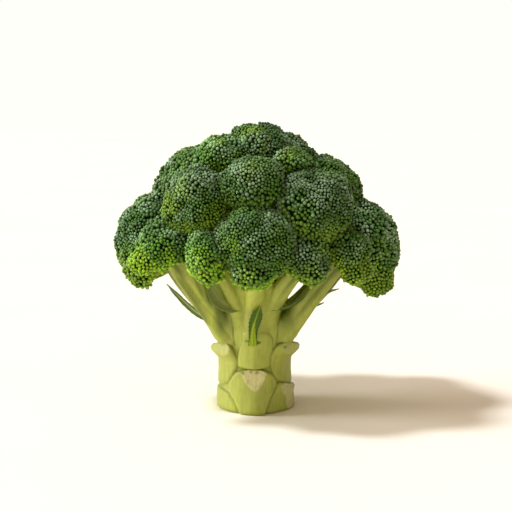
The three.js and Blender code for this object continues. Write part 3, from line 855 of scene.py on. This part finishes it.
def spread(fl, spacing):
    """Directions of buds over the floret: even, irregular, denser where spacing is smaller."""
    area = 4 * math.pi * fl.rmean ** 2
    n = int(area / (spacing * spacing) * 5.5)
    u = unit(fib_dirs(n) + fl.rng.normal(0, 0.9 / math.sqrt(n), (n, 3)))
    R, ell, under = fl.radius(u, True)
    low = u @ fl.axis
    keep = (under > ell * 0.93) & (ell - R < 5.5)
    u, R, low = u[keep], R[keep], low[keep]
    P = fl.c + u * R[:, None]
    sz = bud_size(fl, P, u) * spacing
    order = fl.rng.permutation(len(u))
    cell = spacing * 1.5
    grid = {}
    taken = []
    Q = np.floor(P / cell).astype(int)
    for i in order:
        q = tuple(Q[i])
        ok = True
        pi, si = P[i], sz[i]
        for dx in (-1, 0, 1):
            for dy in (-1, 0, 1):
                for dz in (-1, 0, 1):
                    for j in grid.get((q[0] + dx, q[1] + dy, q[2] + dz), ()):
                        d = pi - P[j]
                        if d[0] * d[0] + d[1] * d[1] + d[2] * d[2] < (0.44 * (si + sz[j])) ** 2:
                            ok = False
                            break
                    if not ok:
                        break
                if not ok:
                    break
            if not ok:
                break
        if ok:
            grid.setdefault(q, []).append(i)
            taken.append(i)
    taken = np.array(sorted(taken))
    u = u[taken]
    # even out the spacing
    for _ in range(3):
        P = fl.point(u)
        tree = kdtree.KDTree(len(P))
        for i, p in enumerate(P):
            tree.insert(p, i)
        tree.balance()
        push = np.zeros_like(P)
        for i, p in enumerate(P):
            for co, j, dist in tree.find_n(p, 7):
                if j != i and dist < spacing * 1.25:
                    push[i] += (p - np.array(co)) / max(dist, 1e-3) * (spacing * 1.25 - dist)
        u = unit(u * np.linalg.norm(P - fl.c, axis=1, keepdims=True) + push * 0.22)
    R, ell, under = fl.radius(u, True)
    keep = (under > ell * 0.90) & (ell - R < 6.0)
    return u[keep]


def bud_size(fl, P, u):
    """Bigger, looser buds low on some domes, small tight ones on top."""
    big = noise(P, 17.0, 71)
    low = smooth(0.75, 0.0, u @ fl.axis)
    return 0.90 + 0.22 * smooth(0.35, 0.75, big) + 0.16 * low * smooth(0.3, 0.7, big)


RINGS = [(1.0, 0.0), (0.78, 0.62), (0.20, 1.0), (-0.42, 0.90), (-1.0, 0.0)]
SIDES = 8


def build_floret(fl, spacing, mats):
    u = spread(fl, spacing)
    R, ell, under = fl.radius(u, True)
    P = fl.c + u * R[:, None]
    N = unit(0.85 * fl.normal(u) + 0.15 * u)
    low = u @ fl.axis
    n = len(u)
    rnd = fl.rng.random((n, 4))
    size = bud_size(fl, P, u) * spacing * (0.82 + 0.36 * fl.rng.random(n))
    rim = smooth(0.18, -0.30, low)                 # 1 at the lower rim
    wide = size * 0.575
    long = wide * (0.98 + 0.16 * rnd[:, 1] + 1.0 * rim * rnd[:, 2])
    P = P + N * ((rnd[:, 3] - 0.5) * 0.75 + 0.5 * (noise(P, 3.2, 47) - 0.5))[:, None]
    # a bud leans a little
    lean = fl.rng.normal(0, 0.16, (n, 3))
    N = unit(N + lean)
    t1 = unit(np.cross(N, np.where(np.abs(N[:, 2:3]) < 0.9, np.array([[0, 0, 1.0]]), np.array([[1.0, 0, 0]]))))
    t2 = np.cross(N, t1)
    spin = rnd[:, 1] * 2 * math.pi
    a = (np.arange(SIDES) * 2 * math.pi / SIDES)[None, :] + spin[:, None]
    verts = []
    for h, w in RINGS:
        if w == 0:
            verts.append((P + N * (h * long)[:, None])[:, None, :])
        else:
            ring = (P + N * (h * long)[:, None])[:, None, :] + (wide * w)[:, None, None] * (np.cos(a)[..., None] * t1[:, None, :] + np.sin(a)[..., None] * t2[:, None, :])
            verts.append(ring)
    V = np.concatenate(verts, axis=1)              # n x (1 + 3*SIDES + 1) x 3
    per = V.shape[1]
    tri = []
    uvs = []
    k = SIDES

    def uv_at(level, side):
        rad = {0: 0.0, 1: 0.17, 2: 0.28, 3: 0.38, 4: 0.46}[level]
        t = side * 2 * math.pi / k
        return (0.5 + rad * math.cos(t), 0.5 + rad * math.sin(t))

    for j in range(k):
        j2 = (j + 1) % k
        tri.append((0, 1 + j, 1 + j2))
        uvs.append(((0.5, 0.5), uv_at(1, j), uv_at(1, j + 1)))
        for lv in (1, 2):
            b0 = 1 + (lv - 1) * k
            b1 = 1 + lv * k
            tri.append((b0 + j, b1 + j, b1 + j2))
            uvs.append((uv_at(lv, j), uv_at(lv + 1, j), uv_at(lv + 1, j + 1)))
            tri.append((b0 + j, b1 + j2, b0 + j2))
            uvs.append((uv_at(lv, j), uv_at(lv + 1, j + 1), uv_at(lv, j + 1)))
        b1 = 1 + 2 * k
        tri.append((b1 + j, 1 + 3 * k, b1 + j2))
        uvs.append((uv_at(3, j), uv_at(4, j + 0.5), uv_at(3, j + 1)))
    tri = np.array(tri)
    uvs = np.array(uvs)
    faces = (tri[None] + (np.arange(n) * per)[:, None, None]).reshape(-1, 3)

    # colour of each bud
    dark = srgb(70, 106, 54)
    blue = srgb(130, 162, 122)
    green = srgb(94, 138, 38)
    lime = srgb(130, 174, 26)
    yel = srgb(160, 190, 40)
    big = noise(P, 13.0, 31)
    mid = noise(P, 6.0, 37)
    base = dark + (blue - dark) * smooth(0.25, 0.8, mid)[:, None]
    gmix = smooth(0.42, 0.78, big) * 0.6
    base = base * (1 - gmix[:, None]) + green * gmix[:, None]
    shade = smooth(0.55, -0.25, N[:, 2] + 0.5 * (mid - 0.5))[:, None]     # painted shade: buds facing down go darker and more saturated green, without the bluish bloom
    base = base * (1 - 0.85 * shade) + srgb(64, 104, 12) * 0.85 * shade
    patch = np.zeros(n)
    for (px, py, pz, pr, ps) in PATCHES:
        d = np.linalg.norm((P - np.array([px, py, pz])) * np.array([1, 0.6, 1]), axis=1)
        patch = np.maximum(patch, 0.8 * ps * smooth(pr * 1.7, pr * 0.2, d + 3.0 * (rnd[:, 2] - 0.5)))
    rimc = smooth(0.42, -0.25, low + 0.16 * (mid - 0.5) + 0.10 * (rnd[:, 3] - 0.5)) * RIM.get(fl.name, 0.55)
    if fl.name in LOBES:
        rimc = np.maximum(rimc, 0.30 + 0.55 * mid)
    y = np.clip(np.maximum(patch, rimc), 0, 1)
    lime_i = lime + (yel - lime) * rnd[:, 2:3]
    tip = base * (1 - y[:, None]) + lime_i * y[:, None]
    tip = tip * (0.74 + 0.58 * rnd[:, 0:1]) * np.array(GAIN.get(fl.name, (1.0, 1.0, 1.0)))
    # painted shade: each bud runs from its tip colour down to a dark green at its base, where the gaps between buds are
    bud_base_shade = tip * 0.16 + srgb(34, 92, 0) * 0.13
    col = np.empty((n, per, 3))
    levels = [1.0, 0.90, 0.44, 0.12, 0.03]
    idx = [0] + [1] * k + [2] * k + [3] * k + [4]
    for v, lv in enumerate(idx):
        w = levels[lv]
        col[:, v] = tip * w + bud_base_shade * (1 - w)
    obj = make_mesh("buds_" + fl.name, V.reshape(-1, 3), faces, True, {"Col": np.clip(col.reshape(-1, 3), 0, 1)})
    # one square of the map for each bud
    cells = int(math.ceil(math.sqrt(n)))
    cx = (np.arange(n) % cells) / cells
    cy = (np.arange(n) // cells) / cells
    uv = np.empty((n, len(tri), 3, 2))
    uv[..., 0] = cx[:, None, None] + uvs[None, ..., 0] / cells
    uv[..., 1] = cy[:, None, None] + uvs[None, ..., 1] / cells
    layer = obj.data.uv_layers.new(name="OFBake")
    layer.data.foreach_set("uv", uv.astype(np.float32).ravel())
    obj.data.materials.append(mats["bud"])
    return obj, n


def tube(path, radii, sides=7):
    """A closed tapered tube along points: its vertices and triangles."""
    p = np.array(path, float)
    t = unit(np.gradient(p, axis=0))
    ref = np.array([0.3, 0.1, 1.0]) if abs(t[0, 2]) < 0.8 else np.array([1.0, 0.2, 0])
    V = [p[0][None]]
    n1 = unit(np.cross(t[0], ref))
    for i in range(len(p)):
        n1 = unit(n1 - t[i] * (n1 @ t[i]))
        n2 = np.cross(t[i], n1)
        a = np.arange(sides) * 2 * math.pi / sides
        V.append(p[i] + radii[i] * (np.cos(a)[:, None] * n1 + np.sin(a)[:, None] * n2))
    V.append(p[-1][None])
    V = np.vstack(V)
    F = []
    m = len(p)
    for j in range(sides):
        j2 = (j + 1) % sides
        F.append((0, 1 + j2, 1 + j))
        for i in range(m - 1):
            a0, b0 = 1 + i * sides, 1 + (i + 1) * sides
            F.append((a0 + j, a0 + j2, b0 + j2))
            F.append((a0 + j, b0 + j2, b0 + j))
        e = 1 + (m - 1) * sides
        F.append((e + j, e + j2, len(V) - 1))
    return V, np.array(F)


ICO = {}


def ico(level):
    if level not in ICO:
        import bmesh
        bm = bmesh.new()
        bmesh.ops.create_icosphere(bm, subdivisions=level, radius=1.0)
        v = np.array([x.co[:] for x in bm.verts])
        f = np.array([[x.index for x in p.verts] for p in bm.faces])
        bm.free()
        ICO[level] = (unit(v), f)
    return ICO[level]


def build_core(fl, mats):
    """What lies under the buds: a near-black inside under the upper buds, which is painted shade for the gaps between
    them, and pale branchlets below.
    """
    dirs, faces = ico(4 if fl.rmean < 16 else 5)
    R, ell, under = fl.radius(dirs, True)
    low = dirs @ fl.axis
    inset = np.where(under < ell * 1.05, 0.4, 0.75)
    V = fl.c + dirs * (R - inset)[:, None]
    below = smooth(1.10, 0.90, under / ell)
    n1 = noise(V, 2.6, 41)[:, None]
    # painted shade: the inside under the upper buds is near-black green
    dark = srgb(12, 32, 2)
    stemc = srgb(150, 162, 72)
    lime = srgb(96, 122, 34)
    edge = smooth(0.62, 1.0, np.linalg.norm((V - fl.c) - ((V - fl.c) @ fl.axis)[:, None] * fl.axis, axis=1) / fl.rmean)
    unders = stemc * (1 - edge[:, None]) + lime * edge[:, None]
    col = dark * (0.7 + 0.6 * n1) * (1 - below[:, None]) + unders * (0.7 + 0.5 * n1) * below[:, None]
    Vs, Fs, Cs = [V], [faces], [col]
    off = len(V)
    # branchlets from the stem's end to the rim
    axis = fl.axis
    t1 = unit(np.cross(axis, [0.2, 0.1, 1.0]))
    t2 = np.cross(axis, t1)
    foot = fl.c - axis * 0.62 * fl.rmean
    m = int(8 + fl.rmean * 0.45)
    for i in range(m):
        a = 2 * math.pi * (i + 0.5 * fl.rng.random()) / m
        side = math.cos(a) * t1 + math.sin(a) * t2
        tipdir = unit(side * 0.93 - axis * (0.34 + 0.10 * fl.rng.random()))
        tip = fl.c + tipdir * (fl.radius(tipdir[None])[0] - 0.8)
        mid = foot * 0.45 + tip * 0.55 - axis * (0.06 * fl.rmean)
        pts, _ = curve([foot, mid, tip], (1, 1, 1), 6)
        r = np.linspace(1.7, 0.75, 6) * (0.6 + 0.4 * fl.rmean / 24)
        v, f = tube(pts, r)
        shade = np.linspace(0, 1, 6).repeat(7)
        shade = np.r_[0, shade, 1][:, None]
        c = srgb(172, 182, 92) * (1 - shade) + srgb(120, 150, 44) * shade
        Vs.append(v)
        Fs.append(f + off)
        Cs.append(c)
        off += len(v)
        # it forks before the rim
        for sgn in (-1, 1):
            a2 = a + sgn * (0.17 + 0.10 * fl.rng.random())
            side2 = math.cos(a2) * t1 + math.sin(a2) * t2
            td = unit(side2 * 0.93 - axis * (0.30 + 0.14 * fl.rng.random()))
            tp = fl.c + td * (fl.radius(td[None])[0] - 0.5)
            pts2, _ = curve([pts[3], pts[3] * 0.5 + tp * 0.5 - axis * 0.5, tp], (1, 1, 1), 5)
            v, f = tube(pts2, np.linspace(1.0, 0.6, 5) * (0.6 + 0.4 * fl.rmean / 24), 6)
            shade = np.r_[0, np.linspace(0, 1, 5).repeat(6), 1][:, None]
            c = srgb(158, 174, 76) * (1 - shade) + srgb(112, 146, 40) * shade
            Vs.append(v)
            Fs.append(f + off)
            Cs.append(c)
            off += len(v)
    obj = make_mesh("inside_" + fl.name, np.vstack(Vs), np.vstack(Fs), True, {"Col": np.clip(np.vstack(Cs), 0, 1)})
    obj.data.materials.append(mats["core"])
    return obj


# lighter, yellower patches of buds: centre, radius, strength
PATCHES = [
    (-45.0, -40, 118.0, 6.5, 0.7), (-38.0, -46, 126.0, 5.0, 0.55),
    (-2.0, -10, 157.0, 5.5, 0.45), (4.0, -16, 147.0, 4.5, 0.5),
    (17.0, -30, 144.0, 4.5, 0.6), (-1.0, -52, 137.0, 5.0, 0.4),
    (-61.5, -40, 88.0, 7.0, 0.95), (39.0, -50, 100.5, 7.5, 0.6),
    (55.0, -38, 83.5, 7.5, 0.7), (-29.0, -58, 92.0, 6.0, 0.55),
    (-12.0, -66, 99.0, 5.0, 0.35), (-4.0, -64, 84.0, 5.0, 0.6),
    (-58.0, -6, 73.0, 9.0, 0.8), (-70.0, -4, 82.0, 8.0, 0.5),
    (62.0, -10, 72.0, 9.0, 0.6), (28.0, -54, 80.0, 8.0, 0.6),
    (-20.0, -24, 151.0, 4.0, 0.5), (44.0, 20, 138.0, 5.0, 0.4),
    (20.0, 62, 110.0, 7.0, 0.5), (-38.0, 66, 96.0, 7.0, 0.6),
    (70.0, 30, 92.0, 8.0, 0.5), (-20.0, 58, 128.0, 6.0, 0.4),
]
RIM = {"left_low": 1.0, "right_low": 0.85, "front_left_low": 1.0, "left_front_low": 1.0, "right_front_low": 0.95, "back_left_low": 0.9, "back_low": 0.9, "left": 0.75, "left_front": 0.7, "front_left": 0.95, "front_lower": 0.9, "front": 0.35,
       "right": 0.7, "right_front": 0.7, "front_right": 0.75, "front_upper_left": 0.6,
       "front_upper_right": 0.4, "front_upper": 0.2, "top": 0.0, "top_left": 0.3, "top_right": 0.2}


GAIN = {"front_left": (1.40, 1.50, 1.10), "left_front": (1.30, 1.38, 1.12), "top_left": (1.40, 1.40, 1.60), "left": (1.16, 1.17, 1.22),
        "right": (1.25, 1.22, 1.20), "front_upper_right": (0.94, 0.92, 0.92), "front_left_low": (1.25, 1.3, 1.0),
        "left_front_low": (1.30, 1.35, 1.0), "front_lower": (1.08, 1.10, 0.95)}

# small lobes that hang from the rim of a floret: the floret, centre, radii
LOBES = {
    "left_low": ("left", (-62.6, -9.0, 78.6), (9.8, 10.5, 8.9)),
    "right_low": ("right", (66.0, -6.0, 73.6), (11.0, 11.5, 9.6)),
    "front_left_low": ("front_left", (-24.0, -52.0, 84.6), (6.6, 7.5, 6.2)),
    "left_front_low": ("left_front", (-59.0, -38.0, 87.5), (7.5, 8.0, 7.5)),
    "right_front_low": ("right_front", (53.0, -36.0, 83.5), (8.2, 9.0, 7.4)),
    "back_left_low": ("back_left", (-54.0, 52.0, 79.5), (9.5, 9.5, 8.5)),
    "back_low": ("back", (10.0, 60.0, 82.0), (10.0, 8.5, 8.5)),
}


# ------------------------------------------------------------------ leaves
LEAVES = {
    "front": dict(path=[(-1.4, -24.4, 39.6), (-1.3, -26.3, 45.6), (-0.9, -28.2, 51.0), (0.6, -31.0, 56.6), (2.6, -32.4, 62.8)], width=(4.4, 4.0, 4.4, 5.6, 5.4, 2.4), face=(0.1, -1, 0.25), curl=0.9, rib=1.9, tone=0, teeth=0.22),
    "left_outer": dict(path=[(-22.8, -18.6, 53.6), (-28.8, -17.2, 54.8), (-35.6, -15.0, 59.4), (-42.6, -13.6, 65.8), (-48.8, -12.6, 71.6)], width=(3.2, 5.4, 6.6, 5.8, 4.2, 1.6), face=(-0.50, -0.60, -0.55), curl=1.2, rib=0.5, tone=1, teeth=0.12),
    "left_inner": dict(path=[(-8.0, -24.4, 59.8), (-13.5, -25.4, 61.4), (-19.0, -26.6, 65.2), (-22.6, -27.2, 70.2), (-24.0, -27.2, 76.6)], width=(2.4, 7.4, 10.6, 11.0, 8.0, 3.0), face=(0.30, -0.86, 0.42), curl=1.9, rib=0.3, tone=2, teeth=0.05, keep=1),
    "right_inner": dict(path=[(6.8, -24.8, 59.6), (12.5, -25.2, 60.0), (18.4, -25.0, 61.4), (24.4, -24.2, 65.0), (29.0, -23, 70.4)], width=(1.4, 1.8, 2.0, 2.2, 2.0, 0.8), face=(-0.15, -0.80, 0.58), curl=1.0, rib=0.5, tone=3, teeth=0.08),
    "right_lower": dict(path=[(30.4, -4.6, 55.8), (33.8, -5.2, 58.2), (38.4, -5.8, 60.0)], width=(3.4, 4.4, 3.2, 0.8), face=(0.5, -0.5, -0.7), curl=0.5, rib=0.5, tone=3, teeth=0.05),
    "right_outer": dict(path=[(38.2, -4.4, 64.2), (42.2, -5.0, 66.6), (46.6, -5.8, 67.8)], width=(3.4, 4.2, 3.0, 0.8), face=(0.5, -0.5, -0.7), curl=0.5, rib=0.5, tone=3, teeth=0.05),
    "back": dict(path=[(2, 22.6, 42), (3.2, 26.4, 49), (3.8, 29.4, 56), (3.4, 31.4, 62), (2.4, 32.2, 67.5)], width=(3.4, 5.2, 6.6, 6.6, 2.0), face=(0, 1, 0.25), curl=0.9, rib=1.3, tone=0, teeth=0.15),
}


LOW_SIDE = 1


def build_leaf(name, spec, seed, mats):
    rng = np.random.default_rng(seed)
    nl, nw = 34, 11
    pts, _ = curve(spec["path"], [1] * len(spec["path"]), nl)
    w = np.interp(np.linspace(0, 1, nl), np.linspace(0, 1, len(spec["width"])), spec["width"])
    tan = unit(np.gradient(pts, axis=0))
    face = unit(np.array(spec["face"], float))
    half = w / 2
    fade = np.minimum(1, np.linspace(1, 0, nl) * 7) ** 0.6
    half = np.maximum(half * np.maximum(fade, 0.12), 0.3)
    # a toothed edge
    tooth = 0.5 + 0.5 * np.sin(np.arange(nl) * 2.1 + rng.random() * 6)
    amp = spec["teeth"]
    V = []
    C = []
    deep, mid, pale = srgb(36, 62, 6), srgb(80, 108, 18), srgb(144, 168, 30)
    if spec["tone"] == 1:
        deep, mid, pale = srgb(46, 66, 20), srgb(84, 106, 36), srgb(176, 188, 110)
    if spec["tone"] == 2:
        deep, mid, pale = srgb(40, 66, 10), srgb(134, 146, 82), srgb(150, 162, 88)
    if spec["tone"] == 3:
        deep, mid, pale = srgb(56, 78, 22), srgb(112, 130, 66), srgb(140, 154, 78)
    thick = 0.55
    for layer in (1, -1):
        for i in range(nl):
            n = unit(face - tan[i] * (face @ tan[i]))
            s = np.cross(tan[i], n)
            for j in range(nw):
                q = -1 + 2 * j / (nw - 1)
                hw = half[i] * (1 + (amp * tooth[i] if abs(q) > 0.99 else 0))
                curl = spec["curl"] * (q * q) * (half[i] / 3.0)
                rib = spec["rib"] * math.exp(-(q / 0.17) ** 2) * (1 - i / nl) ** 0.7
                edge_t = thick * (1 - 0.75 * q * q)
                wob = 0.30 * (noise(np.array([[i * 0.5, j * 0.6, seed]]), 2.0, seed)[0] - 0.5) * abs(q)
                if layer > 0:
                    h = -curl * -1 * 0.6 + edge_t / 2 + rib * 0.6 + wob
                else:
                    h = -curl * -1 * 0.6 - edge_t / 2 - rib * 0.35 + wob
                V.append(pts[i] + s * (q * hw) + n * h)
                vein = math.exp(-(q / 0.14) ** 2) * (1 - 0.6 * i / nl)
                if spec["tone"] == 0:            # the stalk of the leaf is bright, wide at its foot and tapers to a vein
                    vw = max(2.0 * (1 - i / (nl * 0.74)), 0.16)
                    vein = smooth(vw + 0.30, vw - 0.20, abs(q) * half[i]) * (1 - 0.25 * i / nl)
                side = 0.5 + 0.5 * math.cos((i * 1.4 - abs(q) * 5.0))
                c = mid * (0.85 if spec["tone"] == 2 else 0.5) + deep * (0.10 if spec["tone"] == 2 else 0.5)
                c = c * (1 - 0.25 * side) + mid * 0.25 * side
                if layer < 0 and spec["tone"] != 0:
                    c = mid
                edge = smooth(0.78, 1.0, abs(q)) * 0.6
                if spec["tone"] == 2:            # the outer edge rolls over and shows its dark face
                    edge = smooth(0.58, 0.78, q * LOW_SIDE)
                    line = 0.85 * math.exp(-((q * LOW_SIDE - 0.46) / 0.10) ** 2)
                    c = c * (1 - line) + srgb(150, 176, 70) * line
                c = c * (1 - edge) + deep * edge
                c = c * (1 - vein) + pale * vein
                C.append(c)
    V = np.array(V)
    C = np.array(C)
    g = lambda L, i, j: L * nl * nw + i * nw + j
    F = []
    for i in range(nl - 1):
        for j in range(nw - 1):
            F.append((g(0, i, j), g(0, i, j + 1), g(0, i + 1, j + 1), g(0, i + 1, j)))
            F.append((g(1, i, j), g(1, i + 1, j), g(1, i + 1, j + 1), g(1, i, j + 1)))
    for i in range(nl - 1):
        F.append((g(0, i, 0), g(0, i + 1, 0), g(1, i + 1, 0), g(1, i, 0)))
        F.append((g(0, i, nw - 1), g(1, i, nw - 1), g(1, i + 1, nw - 1), g(0, i + 1, nw - 1)))
    for j in range(nw - 1):
        F.append((g(0, 0, j), g(1, 0, j), g(1, 0, j + 1), g(0, 0, j + 1)))
        F.append((g(0, nl - 1, j), g(0, nl - 1, j + 1), g(1, nl - 1, j + 1), g(1, nl - 1, j)))
    F = np.array(F)
    obj = make_mesh("leafblade_" + name, V, F, True, {"Col": C})
    import bmesh
    bm = bmesh.new()
    bm.from_mesh(obj.data)
    bmesh.ops.recalc_face_normals(bm, faces=bm.faces)
    bm.to_mesh(obj.data)
    bm.free()
    obj.data.polygons.foreach_set("use_smooth", np.ones(len(obj.data.polygons), bool))
    obj.data.materials.append(mats["leaf"])
    return obj


# ------------------------------------------------------------------ build it
MATS = {"stalk": stalk_material(), "bud": bud_material(), "core": core_material(), "leaf": leaf_material()}

skin_v, skin_f = build_skin()
skin = make_mesh("stalk_and_stems", skin_v, skin_f, True, {"Col": paint_skin(skin_v)})
skin.data.materials.append(MATS["stalk"])
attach(skin, "root")
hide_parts("stalk", *["stem_" + n for n in STEMS])

total = 0
for i, name in enumerate(FLORETS):
    fl = Floret(name, 100 + 17 * i)
    spacing = 1.62
    buds, count = build_floret(fl, spacing, MATS)
    total += count
    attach(buds, "root")
    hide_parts("floret_" + name)
    inside = build_core(fl, MATS)
    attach(inside, "root")

for i, (name, lobe) in enumerate(LOBES.items()):
    fl = Floret(name, 700 + 13 * i, lobe)
    spacing = 1.74
    buds, count = build_floret(fl, spacing, MATS)
    total += count
    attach(buds, "root")
    inside = build_core(fl, MATS)
    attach(inside, "root")

for i, (name, spec) in enumerate(LEAVES.items()):
    blade = build_leaf(name, spec, 900 + i, MATS)
    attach(blade, "root")
    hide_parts("leaf_" + name)

print("buds:", total, "skin quads:", len(skin_f))

# ------------------------------------------------------------------ stage
bpy.ops.mesh.primitive_plane_add(size=8.0, location=(0, 0, 0))
floor = bpy.context.object
floor.name = "floor"
fm, fnt, fbs = new_material("pale_floor")
ft = node(fnt, "ShaderNodeTexNoise", Scale=60.0, Detail=3.0)
fr_ = ramp(fnt, [(0.3, (0.965, 0.915, 0.85)), (0.7, (0.98, 0.93, 0.865))])
fnt.links.new(ft.outputs["Fac"], fr_.inputs["Fac"])
fnt.links.new(fr_.outputs["Color"], fbs.inputs["Base Color"])
fbs.inputs["Roughness"].default_value = 0.9
floor.data.materials.append(fm)

bpy.context.scene.view_settings.view_transform = "Standard"
world = bpy.data.worlds.new("studio")
bpy.context.scene.world = world
world.use_nodes = True
bg = world.node_tree.nodes["Background"]
wt = world.node_tree
wc = wt.nodes.new("ShaderNodeTexCoord")
ws = wt.nodes.new("ShaderNodeSeparateXYZ")
wt.links.new(wc.outputs["Generated"], ws.inputs["Vector"])
wr = ramp(wt, [(0.0, (1.02, 1.0, 0.955)), (0.17, (1.02, 1.0, 0.955)), (0.34, (0.64, 0.50, 0.355)), (1.0, (0.62, 0.48, 0.335))])
wt.links.new(ws.outputs["Z"], wr.inputs["Fac"])
wx = ramp(wt, [(0.63, (1, 1, 1)), (0.84, (0.36, 0.34, 0.32))])
wm = wt.nodes.new("ShaderNodeMapRange")
wm.inputs["From Min"].default_value = -1.0
wt.links.new(ws.outputs["X"], wm.inputs["Value"])
wt.links.new(wm.outputs["Result"], wx.inputs["Fac"])
wk = wt.nodes.new("ShaderNodeMixRGB")
wk.blend_type = "MULTIPLY"
wk.inputs["Fac"].default_value = 1.0
wt.links.new(wr.outputs["Color"], wk.inputs["Color1"])
wt.links.new(wx.outputs["Color"], wk.inputs["Color2"])
wt.links.new(wk.outputs["Color"], bg.inputs["Color"])
bg.inputs["Strength"].default_value = 1.0


def soft_sun(name, turn, up, spread, power, colour):
    """A soft light from far off: degrees to the front from the left, degrees up, degrees wide."""
    a, e = math.radians(turn), math.radians(up)
    d = bpy.data.lights.new(name, "SUN")
    d.angle = math.radians(spread)
    d.energy = power
    d.color = colour
    o = bpy.data.objects.new(name, d)
    way = Vector((-math.cos(e) * math.cos(a), -math.cos(e) * math.sin(a), math.sin(e)))
    o.location = way * 1.5
    o.rotation_euler = (-way).to_track_quat("-Z", "Y").to_euler()
    bpy.context.scene.collection.objects.link(o)
    return o


soft_sun("key", 3, 57, 9, 2.4, (0.90, 0.94, 0.96))
soft_sun("low", 0, 18, 26, 2.1, (1.0, 0.99, 0.95))

cam_data = bpy.data.cameras.new("camera")
cam_data.lens = 85
cam_data.sensor_width = 36
cam = bpy.data.objects.new("camera", cam_data)
bpy.context.scene.collection.objects.link(cam)
cam.location = (0.0004, -0.6704, 0.1797)
aim = Vector((0.0004, 0.0, 0.08546))
cam.rotation_euler = (aim - cam.location).to_track_quat("-Z", "Y").to_euler()
cam_data.clip_start = 0.01
cam_data.clip_end = 50
bpy.context.scene.camera = cam
